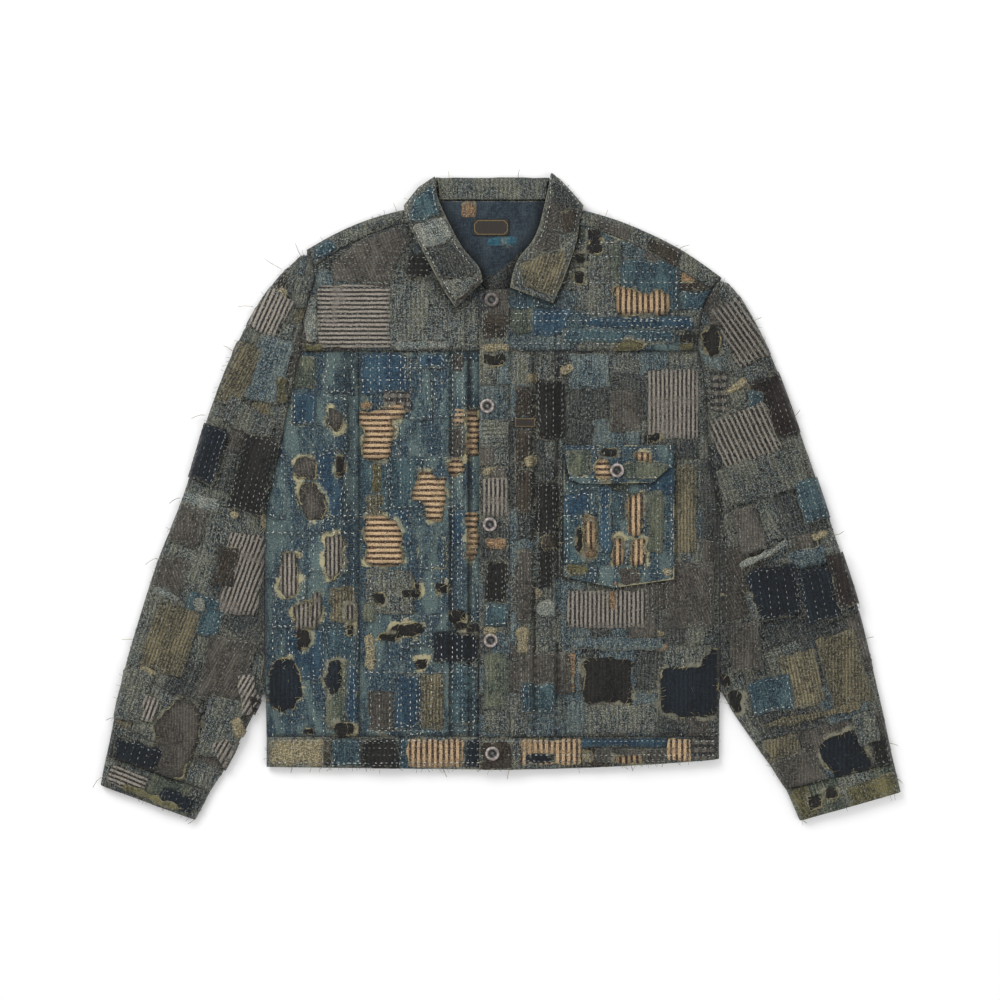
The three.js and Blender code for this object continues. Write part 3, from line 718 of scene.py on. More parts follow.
lining_plan = ruled(through([[-70, 344], [-92, 300], [-96, 238]]),
                    through([[52, 344], [72, 300], [76, 238]]))
pieces["neck_lining"] = laid_on(at_height(lining_top), lining_plan, evenly(40), evenly(30),
                                LINING)
NECK_LABEL, CHEST_TAG = (-32, 9, 304, 323), (15, 40, 83, 95)  # left, right, foot, top


def oblong(left, right, foot, top):
    return ruled(through([[left, top], [left, foot]]), through([[right, top], [right, foot]]))


pieces["neck_label"] = laid_on(at_height(lambda p: lining_top(p) + 0.6 + LABEL),
                               oblong(*NECK_LABEL), evenly(20), evenly(10), LABEL)


def on_left_front(p):
    return left_front_top(p) + 1 + THIN


def flap_top(p):
    return on_left_front(p) + (THIN + 1) * ease(-p[:, 1], -60, -50)


pieces["pocket"] = laid_on(
    at_height(on_left_front),
    coons(through([[POCKET_EDGE_X, POCKET_TOP_Y], [199, POCKET_TOP_Y]]),
          through([[POCKET_EDGE_X, -88], [129, -101], [199, -91]]),
          through([[POCKET_EDGE_X, POCKET_TOP_Y], [POCKET_EDGE_X, -88]]),
          through([[199, POCKET_TOP_Y], [199, -91]])), evenly(40), evenly(44), THIN)
pieces["pocket_flap"] = laid_on(
    at_height(flap_top),
    coons(through([[70, 63], [199, 63]]),
          through([[79, 24], [92, 18.5], [134, 19], [174, 20], [197, 41]]),
          through([[70, 63], [79, 24]]), through([[199, 63], [197, 41]])),
    evenly(40), evenly(16), THIN)
pieces["chest_tag"] = laid_on(at_height(lambda p: left_front_top(p) + 1 + LABEL),
                              oblong(*CHEST_TAG), evenly(12), evenly(6), LABEL)

# Materials


def linear(colour):
    """An sRGB hex colour as the shader's own values."""
    parts = [int(colour[i:i + 2], 16) / 255 for i in (1, 3, 5)]
    return (*[c / 12.92 if c < 0.04045 else ((c + 0.055) / 1.055) ** 2.4 for c in parts], 1.0)


def add(tree, kind, inputs=None, **settings):
    """A node with its settings, and its inputs given as values or as sockets to link."""
    node = tree.nodes.new(kind)
    for key, value in settings.items():
        setattr(node, key, value)
    for key, value in (inputs or {}).items():
        if isinstance(value, bpy.types.NodeSocket):
            tree.links.new(value, node.inputs[key])
        else:
            node.inputs[key].default_value = value
    return node


def start(name):
    material = bpy.data.materials.new(name)
    material.use_nodes = True
    material.node_tree.nodes.clear()
    return material, material.node_tree


def finish_material(tree, colour, height, bump=0.6, depth=0.7, roughness=0.92, sheen=0.15,
                    specular=0.2):
    inputs = {"Base Color": colour, "Roughness": roughness, "Sheen Weight": sheen,
              "Sheen Roughness": 0.6, "Specular IOR Level": specular}
    if height is not None:
        inputs["Normal"] = add(tree, "ShaderNodeBump", {
            "Strength": bump, "Distance": depth * MM, "Height": height}).outputs[0]
    shader = add(tree, "ShaderNodeBsdfPrincipled", inputs)
    add(tree, "ShaderNodeOutputMaterial", {"Surface": shader.outputs[0]})


def ramp(tree, value, low, high, to_low=0.0, to_high=1.0):
    return add(tree, "ShaderNodeMapRange", {0: value, 1: low, 2: high, 3: to_low, 4: to_high},
               interpolation_type="SMOOTHSTEP").outputs[0]


def blend_colours(tree, share, a, b, how="MIX"):
    return add(tree, "ShaderNodeMix", {0: share, 6: a, 7: b}, data_type="RGBA",
               blend_type=how).outputs[2]


def calc(tree, how, *values):
    return add(tree, "ShaderNodeMath", dict(enumerate(values)), operation=how).outputs[0]


AGED = 0.9  # share of its first brightness that old cloth gives back


def woven(name, dark, light, worn, fleck, fleck_share=0.35, worn_share=0.5, stripe=None,
          period=6.0, split=0.0, rib=0.0, rib_period=4.4, depth=0.7, worn_size=38.0,
          halo="#868370", scratch=0.35):
    """Cloth in two yarns that show as slubs 1.5 mm wide, faded in patches, with worn flecks.
    stripe = (colour, colour) runs along the weave's first direction, period mm apart; halo is
    what it rubs down to round a tear; scratch is the share of long pale yarns."""
    material, tree = start(name)
    place = add(tree, "ShaderNodeUVMap", uv_map="weave").outputs[0]

    def patches(across, along, detail=2.0, offset=0.0):
        at = add(tree, "ShaderNodeMapping", {
            "Vector": place, "Location": (offset, offset, 0),
            "Scale": (1 / across, 1 / along, 1)}).outputs[0]
        return add(tree, "ShaderNodeTexNoise", {
            "Vector": at, "Scale": 1.0, "Detail": detail, "Roughness": 0.62}).outputs[0]

    warp, weft = patches(1.7, 7.0), patches(7.0, 1.7, offset=9.0)
    grain = patches(2.6, 2.6, 3.0, 31.0)
    fade = patches(worn_size * 0.6, worn_size * 1.7, 4.0, 5.0)
    weave = calc(tree, "MAXIMUM", warp, weft)

    def dyed(colour, mask, share, other):
        return blend_colours(tree, calc(tree, "MULTIPLY", mask, share), colour, linear(other))

    def waves(axis, wobble, sway, length):
        """Waves across one direction of the cloth, which sway with the yarn."""
        uv = add(tree, "ShaderNodeSeparateXYZ", {0: place})
        wobble = calc(tree, "MULTIPLY", wobble, sway)
        turn = calc(tree, "MULTIPLY", calc(tree, "ADD", uv.outputs[axis], wobble),
                    2 * math.pi / length)
        return calc(tree, "SINE", turn)

    colour = blend_colours(tree, ramp(tree, weave, 0.46, 0.66), linear(dark), linear(light))
    colour = dyed(colour, ramp(tree, fade, 0.46, 0.6), worn_share, worn)
    bumps = calc(tree, "ADD", weave, grain)
    if stripe:
        mask = ramp(tree, waves(1, patches(16, 10, 2.0, 13.0), 1.9, period),
                    split - 0.3, split + 0.3)
        pale = blend_colours(tree, ramp(tree, grain, 0.35, 0.62), linear(stripe[0]),
                             linear(light))
        dull = blend_colours(tree, ramp(tree, weave, 0.5, 0.72), linear(stripe[1]),
                             linear(dark))
        bands = blend_colours(tree, mask, dull, pale)
        colour = blend_colours(tree, ramp(tree, fade, 0.52, 0.68, 1.0, 0.35), colour, bands)
        bumps = calc(tree, "ADD", bumps, calc(tree, "MULTIPLY", mask, 0.8))
    if rib:
        wale = ramp(tree, waves(0, patches(14, 18, 2.0, 17.0), 2.6, rib_period), -0.7, 0.9)
        colour = blend_colours(tree, 1.0, colour, ramp(tree, wale, 0, 1, 1 - rib, 1 + rib * 0.4),
                               "MULTIPLY")
        bumps = calc(tree, "ADD", bumps, calc(tree, "MULTIPLY", wale, 1.2 * rib + 0.3))
    colour = dyed(colour, ramp(tree, grain, 0.55, 0.66), fleck_share, fleck)
    if scratch:
        long_yarns = patches(1.2, 13.0, 2.0, 43.0)
        colour = dyed(colour, ramp(tree, long_yarns, 0.57, 0.68), scratch, fleck)
    fine = patches(1.5, 1.5, 1.0, 61.0)
    colour = dyed(colour, ramp(tree, fine, 0.56, 0.7), fleck_share * 1.3, fleck)
    colour = dyed(colour, ramp(tree, fine, 0.45, 0.33), 0.75, dark)
    rubbed = add(tree, "ShaderNodeAttribute", attribute_name="worn").outputs["Fac"]
    rubbed = calc(tree, "ADD", rubbed, calc(tree, "MULTIPLY", calc(
        tree, "SUBTRACT", calc(tree, "ADD", grain, weave), 1.05), 1.1))
    colour = dyed(colour, ramp(tree, rubbed, 0.34, 0.8), 0.8, halo)
    # shade is painted shade from seams, creases, pleats and what lies on the cloth, and painted light
    # where it is below zero
    shade = add(tree, "ShaderNodeAttribute", attribute_name="shade").outputs["Fac"]
    tint = add(tree, "ShaderNodeAttribute", attribute_name="tint").outputs["Fac"]
    tone = calc(tree, "MULTIPLY", calc(tree, "SUBTRACT", AGED, shade), tint)
    colour = blend_colours(tree, 1.0, colour, tone, "MULTIPLY")
    finish_material(tree, colour, bumps, depth=depth)
    return material


cloths = {
    # Hand-woven cotton in two greys, darned all over: salt-and-pepper slate
    "slate": woven("darned slate cotton", "#14181a", "#525d61", "#6c6c5b", "#a9a896", 0.5,
                   rib=0.42, rib_period=5.2, scratch=0.5),
    "coal": woven("dark darned slate cotton", "#0d0f10", "#3b4347", "#4d4d46", "#85867b", 0.4,
                  rib=0.4, rib_period=4.6, scratch=0.5),
    "mist": woven("blue-grey darned cotton", "#141e24", "#455b66", "#646f6b", "#9ea59b", 0.45,
                  rib=0.3, rib_period=5.6, scratch=0.5),
    # The same, bleached by wear
    "pale": woven("bleached slate cotton", "#1f2629", "#6f7b7b", "#86877a", "#b9b8a8", 0.62,
                  scratch=0.6),
    # Indigo-dyed cotton, faded to teal grey where it rubs
    "indigo": woven("faded indigo cotton", "#11202b", "#2e4858", "#5c6e6b", "#919c92", 0.36,
                    worn_share=0.72, halo="#b3aa84", scratch=0.3),
    "blue": woven("bright indigo cotton", "#0f202e", "#26455b", "#3e5b68", "#73868b", 0.25,
                  halo="#9a9a80", scratch=0.2),
    # Deep indigo that has never faded
    "navy": woven("deep indigo cotton", "#06090d", "#151e29", "#1b2731", "#46525b", 0.14,
                  rib=0.4, rib_period=5.0, scratch=0.22),
    "black": woven("iron-black cotton", "#060606", "#222221", "#2e2c29", "#5c5952", 0.15,
                   rib=0.3, scratch=0.2),
    # Tannin-brown cloth with a soft nap
    "umber": woven("bark-brown cotton", "#120f0c", "#38312a", "#4b4338", "#7a7062", 0.25,
                   rib=0.35, scratch=0.3),
    "taupe": woven("taupe twill", "#252421", "#57534b", "#67625a", "#86817a", 0.2, rib=0.3,
                   rib_period=3.4, depth=0.4, scratch=0.25),
    "khaki": woven("khaki ribbed cotton", "#29261d", "#726c57", "#8a8063", "#aba487", 0.3,
                   rib=0.5, rib_period=3.8, scratch=0.4),
    "olive": woven("olive cotton", "#25241a", "#5a563b", "#7d7751", "#9a946f", 0.3),
    "moss": woven("grey-green cotton", "#1e2626", "#4e584e", "#74765f", "#94987f", 0.35,
                  rib=0.25),
    "teal": woven("teal cotton", "#11202a", "#2f4a56", "#526c6f", "#829694", 0.35, rib=0.2),
    "maroon": woven("madder-brown cotton", "#0b0807", "#271f1c", "#352c28", "#625851", 0.15,
                    rib=0.2, scratch=0.2),
    # Loom-striped cottons: the stripes are 2 to 3 mm wide and waver with the yarn
    "tick": woven("grey ticking stripe", "#242220", "#9c948a", "#7f786e", "#aaa396", 0.15,
                  stripe=("#8b8378", "#24221f"), period=5.0, split=-0.05, depth=0.9,
                  scratch=0.1),
    "cream_tick": woven("cream and brown stripe", "#26170e", "#b39672", "#a08663", "#d6c4a4",
                        0.25, stripe=("#cbae8b", "#3b2618"), period=6.4, split=-0.1, depth=0.9,
                        halo="#b39f74", scratch=0.15),
    "pin": woven("black pinstripe", "#141312", "#8a8479", "#5d5a54", "#a29c8f", 0.25,
                 stripe=("#7d776c", "#1d1b19"), period=5.6, split=0.2),
    "plaid": woven("dark plaid", "#17191b", "#625e55", "#50504b", "#928b7c", 0.3,
                   stripe=("#6a655f", "#212225"), period=9.0, rib=0.5, rib_period=9.0),
    # Rags of undyed cotton, yellowed
    "cream": woven("yellowed undyed cotton", "#3c382b", "#9c9173", "#82775a", "#c4b997", 0.6),
    "tan": woven("tan undyed cotton", "#3e2f22", "#97795a", "#7a6047", "#c2a783", 0.5),
    # The lining's colours are darker than its own, as painted shade inside the neck
    "lining": woven("indigo lining twill", "#1b242d", "#334049", "#3f4b52", "#55616a", 0.12,
                    rib=0.12, rib_period=1.8, depth=0.25, scratch=0.0),
    "lining_teal": woven("teal lining patch", "#1d4251", "#386675", "#3a6a7b", "#56808d", 0.1,
                         depth=0.25, scratch=0.0),
    "rim": woven("frayed undyed rim", "#4b4633", "#a2976f", "#7b744f", "#c3b78f", 0.4,
                 depth=1.0),
    "dull_rim": woven("frayed grey rim", "#2b3031", "#767c74", "#676750", "#a5a595", 0.4,
                      depth=1.0),
}


def yarn(name, dark, light, size=3.0, sheen=0.2):
    """Loose or sewn thread: two tones that change along it."""
    material, tree = start(name)
    place = add(tree, "ShaderNodeTexCoord").outputs["Object"]
    tone = add(tree, "ShaderNodeTexNoise", {
        "Vector": place, "Scale": 1 / (size * MM), "Detail": 2.0}).outputs[0]
    wide = add(tree, "ShaderNodeTexNoise", {
        "Vector": place, "Scale": 1 / (30 * MM), "Detail": 2.0}).outputs[0]
    share = ramp(tree, calc(tree, "ADD", tone, wide), 0.8, 1.2)
    colour = blend_colours(tree, share, linear(dark), linear(light))
    finish_material(tree, colour, tone, depth=0.3, sheen=sheen)
    return material


yarns = {
    "white": yarn("white sashiko thread", "#79858a", "#d0d1c8"),
    "grey": yarn("grey sashiko thread", "#3a4243", "#8d918b"),
    "fray": yarn("frayed undyed edge", "#504c3a", "#aba07c", 4.0),
    "dull_fray": yarn("frayed grey edge", "#343a3b", "#888a80", 4.0),
    "black": yarn("black buttonhole twist", "#08090a", "#232628"),
}

# Patches, holes and rags, charted on each piece. A row is the cloth, what it is, the
# weave's turn in degrees and the shape: (left, right, foot, top) or corners.


def turned(x, y, width, height, degrees):
    """Corners of a box turned about its middle."""
    c, s = math.cos(math.radians(degrees)), math.sin(math.radians(degrees))
    return [(x + c * a - s * b, y + s * a + c * b)
            for a, b in ((-width / 2, -height / 2), (width / 2, -height / 2),
                         (width / 2, height / 2), (-width / 2, height / 2))]


CHART = {
    "front_yoke_right": [
        ("slate", "patch", 0, (-128, -42, 172, 250)), ("tick", "patch", 0, (-211, -128, 175, 247)),
        ("taupe", "patch", 20, [(-196, 268), (-166, 296), (-118, 312), (-104, 298), (-124, 264),
                                (-130, 245), (-165, 250), (-192, 252)]),
        ("black", "patch", 0, (-108, -82, 255, 282)), ("slate", "patch", 8, (-80, -44, 236, 272)),
        ("pale", "rag", 0, (-120, -60, 172, 182)), ("olive", "rag", 0, (-228, -205, 172, 180)),
        ("pale", "rag", 0, (-226, -212, 180, 236)),
    ],
    "front_side_panel_right": [
        ("taupe", "hole", 0, [(-200, 108), (-184, 102), (-180, 86), (-190, 78), (-200, 84)]),
        ("blue", "patch", 0, (-240, -213, 86, 124)),
        ("taupe", "hole", 10, [(-238, 50), (-222, 52), (-210, 40), (-216, 22), (-236, 26)]),
        ("taupe", "hole", 0, [(-232, 18), (-214, 18), (-200, 6), (-204, -22), (-222, -26),
                              (-232, -8)]),
        ("black", "hole", 0, (-190, -181, 26, 50)), ("moss", "patch", 0, (-252, -214, 128, 166)),
        ("khaki", "patch", 0, (-196, -167, -140, -100)),
        ("tick", "hole", 90, [(-250, -60), (-238, -58), (-232, -80), (-236, -108),
                              (-246, -115), (-254, -96), (-254, -72)]),
        ("tick", "hole", 90, [(-203, -42), (-182, -40), (-180, -62), (-190, -95), (-200, -92)]),
        ("tick", "hole", 90, (-238, -211, -150, -118)),
        ("tick", "hole", 90, (-218, -207, -137, -106)),
        ("tick", "hole", 90, (-178, -168, -143, -120)),
        ("black", "hole", 0, (-236, -221, -172, -150)), ("black", "hole", 0, (-178, -169, -157, -143)),
        ("moss", "patch", 0, (-201, -178, -264, -182)), ("blue", "patch", 0, (-177, -165, -262, -190)),
        ("navy", "hole", 0, [(-262, -184), (-240, -180), (-230, -196), (-229, -226), (-238, -243),
                             (-262, -240), (-269, -216)]),
        ("navy", "hole", 0, [(-200, -185), (-185, -183), (-182, -204), (-192, -225), (-203, -210)]),
        ("black", "hole", 0, (-229, -213, -270, -262)), ("black", "hole", 0, (-190, -169, -271, -256)),
    ],
    "front_panel_right": [
        ("blue", "patch", 0, (-162, -106, 121, 169)), ("blue", "patch", 0, (-95, -63, 151, 169)),
        ("taupe", "patch", 0, (-57, -43, 148, 169)), ("plaid", "patch", 0, (-135, -103, 101, 125)),
        ("cream_tick", "hole", 0, [(-162, 102), (-140, 104), (-110, 111), (-104, 98), (-126, 92),
                                   (-124, 66), (-130, 46), (-160, 45), (-156, 70)]),
        ("tan", "rag", 0, (-162, -150, 104, 113)),
        ("cream_tick", "hole", 0, [(-102, 16), (-94, 38), (-78, 28), (-62, 26), (-62, -2),
                                   (-66, -24), (-84, -26), (-86, -6), (-104, 2)]),
        ("cream_tick", "hole", 0, (-60, -43, 29, 48)), ("cream_tick", "hole", 0, (-40, -26, 51, 106)),
        ("cream_tick", "patch", 0, (-55, -42, 86, 105)),
        ("cream_tick", "hole", 0, (-40, -26, -68, -14)),
        ("cream_tick", "hole", 0, [(-156, -18), (-130, -20), (-112, -34), (-114, -72), (-142, -75),
                                   (-158, -70), (-154, -46)]),
        ("khaki", "patch", 0, (-155, -136, -15, 6)), ("olive", "patch", 0, (-148, -138, 8, 42)),
        ("taupe", "patch", 0, (-59, -42, 50, 84)), ("indigo", "patch", 0, (-95, -63, -80, -40)),
        ("slate", "patch", 0, (-155, -100, -131, -80)),
        ("moss", "patch", 0, (-158, -145, -140, -119)), ("cream", "rag", 0, (-157, -146, -196, -156)),
        ("black", "hole", 0, (-147, -134, -120, -107)), ("black", "hole", 0, (-115, -93, -111, -104)),
        ("black", "hole", 0, (-101, -92, -104, -94)), ("black", "hole", 0, (-75, -60, -108, -96)),
        ("black", "hole", 0, [(-128, -142), (-108, -143), (-86, -139), (-88, -150), (-108, -160),
                              (-126, -158)]),
        ("black", "hole", 0, (-141, -121, -161, -154)), ("black", "hole", 0, (-100, -84, -193, -182)),
        ("black", "hole", 0, (-60, -40, -140, -127)), ("black", "hole", 0, (-52, -40, -148, -142)),
        ("black", "hole", 0, (-38, -25, -157, -144)),
        ("navy", "patch", 0, (-78, -26, -185, -152)), ("taupe", "patch", 0, (-152, -124, -266, -220)),
        ("khaki", "patch", 0, (-92, -66, -264, -200)), ("teal", "patch", 0, (-60, -26, -258, -188)),
        ("blue", "patch", 0, (-122, -94, -264, -200)),
    ],
    "buttonhole_band": [
        ("cream", "rag", 0, (-22, 8, 171, 178)), ("black", "hole", 0, (-21, 4, 155, 167)),
        ("umber", "patch", 90, (-22, 8, 186, 214)), ("slate", "patch", 90, (-22, 8, 60, 92)),
        ("tick", "patch", 90, (-22, 8, -18, 26)), ("cream", "rag", 0, (-22, -8, 29, 39)),
        ("tan", "rag", 0, (-18, 6, -56, -44)), ("black", "patch", 0, (-20, 8, -118, -69)),
        ("teal", "patch", 0, (-20, 8, -146, -119)), ("cream", "rag", 0, (-20, -4, -154, -146)),
        ("moss", "patch", 0, (-20, 8, -240, -176)), ("slate", "patch", 0, (-20, 8, -268, -242)),
    ],
    "front_panel_left": [
        ("slate", "patch", 0, (12, 36, 132, 168)), ("mist", "patch", 0, (78, 124, 128, 168)),
        ("black", "patch", 0, (41, 74, 70, 138)), ("umber", "patch", 0, (17, 38, 96, 131)),
        ("umber", "patch", 0, (16, 36, 40, 82)), ("taupe", "patch", 0, (126, 160, 78, 125)),
        ("tick", "patch", 90, (168, 227, 70, 150)), ("black", "hole", 0, (165, 182, 66, 76)),
        ("umber", "patch", 0, (17, 38, -15, 35)), ("black", "patch", 0, (40, 66, -40, 20)),
        ("cream", "rag", 0, (28, 42, 134, 146)), ("cream", "rag", 0, (68, 82, 144, 155)),
        ("cream", "rag", 0, (26, 40, 38, 50)), ("taupe", "patch", 0, (17, 38, -140, -56)),
        ("black", "patch", 4, (42, 60, -100, -44)), ("umber", "rag", 0, (46, 66, -56, -40)),
        ("cream", "rag", 0, (18, 31, -176, -146)), ("cream", "rag", 0, (38, 46, -111, -100)),
        ("pale", "rag", 0, (42, 66, -135, -116)), ("taupe", "patch", 0, (20, 82, -222, -175)),
        ("teal", "patch", 0, (22, 62, -246, -210)), ("khaki", "patch", 0, (201, 224, -60, 42)),
        ("tick", "patch", 90, (76, 166, -147, -104)), ("tan", "rag", 0, (126, 132, -128, -104)),
        ("taupe", "patch", 20, (188, 244, -147, -72)), ("slate", "patch", 0, (96, 180, -268, -236)),
        ("tan", "rag", 0, (80, 85, -222, -174)), ("tan", "rag", 0, (178, 191, -173, -164)),
        ("cream", "rag", 0, (178, 189, -158, -149)), ("black", "hole", 0, (95, 150, -233, -180)),
        ("navy", "hole", 0, [(238, -178), (250, -168), (250, -248), (222, -252), (182, -240),
                             (182, -198), (200, -190), (221, -195)]),
        ("mist", "patch", 0, (80, 186, -172, -158)),
    ],
    "front_yoke_left": [
        ("slate", "patch", 0, (100, 135, 172, 298)), ("taupe", "patch", 30, (166, 206, 268, 292)),
        ("umber", "patch", -30, (205, 240, 242, 272)), ("black", "hole", 0, (100, 115, 284, 312)),
        ("black", "hole", 0, (84, 97, 249, 262)), ("black", "hole", 0, (85, 96, 270, 283)),
        ("moss", "patch", 0, (125, 138, 250, 296)), ("teal", "patch", 0, (138, 205, 216, 276)),
        ("tan", "rag", 0, (208, 223, 250, 262)), ("blue", "patch", 0, (96, 222, 196, 211)),
        ("teal", "patch", 0, (70, 200, 181, 197)),
        ("cream_tick", "hole", 90, [(128, 246), (140, 248), (160, 236), (178, 240), (196, 232),
                                    (194, 214), (160, 212), (132, 214)]),
        ("olive", "hole", 0, [(128, 172), (140, 184), (152, 186), (164, 176), (150, 171)]),
        ("black", "patch", 0, (206, 224, 178, 194)), ("olive", "rag", 0, (204, 222, 172, 179)),
    ],
    "back_yoke": [
        ("teal", "patch", 10, [(-212, 272), (-188, 290), (-196, 302), (-218, 288)]),
        ("slate", "patch", 20, [(-150, 309), (-112, 320), (-116, 330), (-152, 320)]),
        ("taupe", "patch", 0, [(104, 314), (146, 298), (150, 312), (108, 326)]),
        ("umber", "patch", -30, [(166, 290), (202, 268), (210, 284), (172, 304)]),
    ],
    "pocket": [
        ("tan", "hole", 90, (94, 110, -68, -19)), ("cream_tick", "hole", 90, (97, 108, -58, -26)),
        ("black", "hole", 0, [(88, -32), (94, -30), (92, -64), (86, -56)]),
        ("cream_tick", "hole", 90, (147, 163, -40, 8)), ("cream_tick", "hole", 90, (127, 140, -76, -43)),
        ("cream_tick", "hole", 90, (150, 166, -76, -43)), ("taupe", "rag", 0, (136, 160, -96, -78)),
        ("cream", "rag", 0, (186, 197, -87, -78)), ("olive", "rag", 0, (74, 98, -86, -74)),
        ("blue", "patch", 0, (112, 126, -60, 14)), ("moss", "patch", 0, (168, 186, -60, 10)),
        ("tan", "rag", 0, (128, 136, -100, -93)),
    ],
    "pocket_flap": [
        ("black", "hole", 0, (116, 133, 50, 60)), ("cream_tick", "hole", 0, (108, 124, 24, 46)),
        ("cream_tick", "hole", 90, (152, 174, 43, 56)), ("moss", "patch", 0, (142, 190, 24, 42)),
        ("moss", "patch", 0, (76, 104, 28, 58)),
    ],
    "waistband_front_right": [
        ("cream", "patch", 0, (-266, -204, -305, -275)),
        ("umber", "patch", 0, (-203, -196, -306, -275)),
        ("teal", "patch", 0, (-195, -160, -307, -275)), ("black", "patch", 0, (-160, -118, -308, -275)),
        ("cream_tick", "patch", 90, (-108, -43, -308, -275)), ("navy", "patch", 0, (-42, -24, -308, -275)),
    ],
    "waistband_front_left": [
        ("umber", "rag", 0, (-22, 12, -309, -277)), ("cream_tick", "patch", 90, (22, 92, -304, -275)),
        ("navy", "patch", 0, (28, 62, -301, -292)), ("blue", "patch", 0, (92, 190, -284, -274)),
        ("cream", "patch", 0, (93, 106, -303, -286)), ("taupe", "patch", 0, (107, 190, -302, -286)),
        ("cream_tick", "hole", 90, (130, 164, -303, -293)),
        ("cream_tick", "patch", 90, (191, 218, -300, -274)),
        ("plaid", "patch", 0, (219, 246, -300, -274)),
    ],
    "sleeve_right": [
        ("umber", "patch", -30, turned(-253, 256, 16, 30, 0)),
        ("cream", "rag", 0, (-258, -246, 232, 243)),
        ("tick", "patch", 66, turned(-266, 216, 40, 52, -30)),
        ("mist", "patch", -20, turned(-267, 150, 42, 76, -16)),
        ("khaki", "patch", -28, turned(-301, 144, 30, 74, -22)),
        ("olive", "patch", -28, (-258, -246, 112, 142)),
        ("slate", "patch", -20, turned(-290, 92, 60, 30, -28)),
        ("navy", "patch", -20, turned(-337, 54, 32, 66, -16)),
        ("black", "patch", -20, turned(-284, 30, 40, 88, -14)),
        ("pale", "patch", -20, turned(-346, -2, 46, 15, -18)),
        ("taupe", "patch", 0, turned(-360, -30, 36, 46, -18)),
        ("taupe", "patch", 20, turned(-380, -86, 36, 42, -18)),
        ("pale", "rag", 20, turned(-384, -109, 34, 8, -24)),
        ("teal", "patch", -20, turned(-342, -132, 46, 46, -16)),
        ("tick", "patch", 70, turned(-297, -86, 44, 92, -8)),
        ("umber", "patch", -20, turned(-316, -76, 24, 46, -10)),
        ("khaki", "patch", -20, turned(-380, -160, 52, 78, -18)),
        ("pale", "rag", 0, turned(-346, -120, 12, 16, 0)),
        ("cream", "rag", 0, turned(-270, -25, 12, 20, 0)), ("cream", "rag", 0, (-310, -300, -20, -12)),
        ("taupe", "patch", -30, turned(-316, -196, 56, 76, -12)),
        ("cream", "rag", -20, turned(-405, -197, 22, 9, -20)),
        ("slate", "patch", -20, turned(-422, -224, 34, 60, -14)),
        ("tick", "patch", 70, turned(-404, -240, 16, 30, -14)),
        ("taupe", "hole", 0, [(-366, -226), (-346, -240), (-348, -280), (-366, -318), (-392, -324),
                              (-402, -296), (-396, -250)]),
        ("navy", "patch", -20, turned(-420, -300, 54, 44, -16)),
        ("slate", "patch", -20, turned(-322, -262, 42, 70, -14)),
        ("tick", "patch", 60, turned(-290, -222, 20, 44, 10)),
        ("tick", "patch", 60, turned(-314, -296, 20, 44, 26)),
        ("cream", "rag", 0, turned(-302, -262, 12, 24, 20)),
        ("maroon", "patch", 0, turned(-282, -236, 10, 22, 10)),
    ],
    "cuff_right": [
        ("tick", "patch", -22, turned(-430, -322, 44, 22, -22)),
        ("navy", "patch", -20, turned(-374, -344, 40, 20, -22)),
        ("olive", "rag", 0, turned(-402, -342, 70, 7, -22)),
    ],
    "sleeve_left": [
        ("taupe", "patch", -150, turned(244, 222, 20, 42, 20)),
        ("pin", "patch", 125, turned(278, 194, 46, 76, 26)),
        ("black", "hole", 0, [(232, 196), (244, 201), (253, 188), (248, 168), (238, 165), (230, 178)]),
        ("plaid", "patch", 0, (240, 262, 102, 148)), ("cream", "rag", 30, turned(270, 130, 26, 8, 32)),
        ("maroon", "patch", 20, turned(316, 106, 52, 74, 22)),
        ("teal", "patch", 0, (284, 302, 104, 125)),
        ("pin", "patch", 115, turned(280, 72, 70, 62, 20)), ("cream", "rag", 0, (312, 325, 47, 56)),
        ("slate", "patch", 20, turned(300, 26, 100, 46, 16)),
        ("taupe", "patch", 0, turned(284, -34, 30, 52, 14)),
        ("teal", "patch", 20, turned(358, 0, 32, 50, 16)),
        ("cream", "rag", 0, turned(366, -40, 20, 9, 20)),
        ("pale", "rag", 30, turned(302, -62, 62, 7, 26)),
        ("mist", "patch", 15, turned(352, -68, 44, 24, 14)),
        ("navy", "patch", 15, turned(314, -106, 58, 60, 12)),
        ("navy", "patch", 15, turned(366, -108, 46, 62, 14)),
        ("maroon", "patch", 10, turned(392, -92, 26, 62, 16)),
        ("slate", "rag", 0, turned(288, -122, 9, 34, 24)), ("cream", "rag", 0, (240, 260, -112, -106)),
        ("khaki", "patch", 12, turned(346, -206, 42, 62, 14)),
        ("khaki", "patch", 0, turned(394, -194, 46, 84, 16)),
        ("teal", "patch", 10, turned(310, -224, 50, 40, 10)),
        ("taupe", "patch", 0, turned(280, -168, 36, 56, 6)),
        ("black", "hole", 0, (244, 262, -214, -200)), ("black", "hole", 0, (262, 275, -244, -221)),
        ("khaki", "rag", 15, turned(358, -248, 112, 8, 12)),
        ("khaki", "patch", 0, turned(322, -284, 42, 26, 20)),
        ("navy", "hole", 0, [(362, -280), (404, -262), (426, -306), (384, -320)]),
        ("black", "patch", 0, turned(436, -288, 20, 34, 16)),
        ("slate", "patch", 0, turned(420, -262, 26, 36, 16)),
        ("taupe", "patch", 0, turned(342, -312, 50, 44, 24)),
    ],
    "cuff_left": [
        ("black", "hole", 0, turned(360, -347, 16, 20, 20)),
        ("black", "hole", 0, turned(380, -338, 14, 12, 20)),
        ("moss", "patch", 20, turned(386, -354, 22, 16, 20)),
        ("olive", "patch", 20, turned(428, -334, 58, 24, 20)),
    ],
    "collar_leaf_right": [
        ("teal", "patch", 20, [(-78, 362), (-106, 344), (-104, 318), (-90, 318), (-70, 330)]),
        ("pale", "patch", 25, [(-102, 312), (-92, 318), (-66, 326), (-54, 312), (-60, 296),
                               (-88, 288)]),
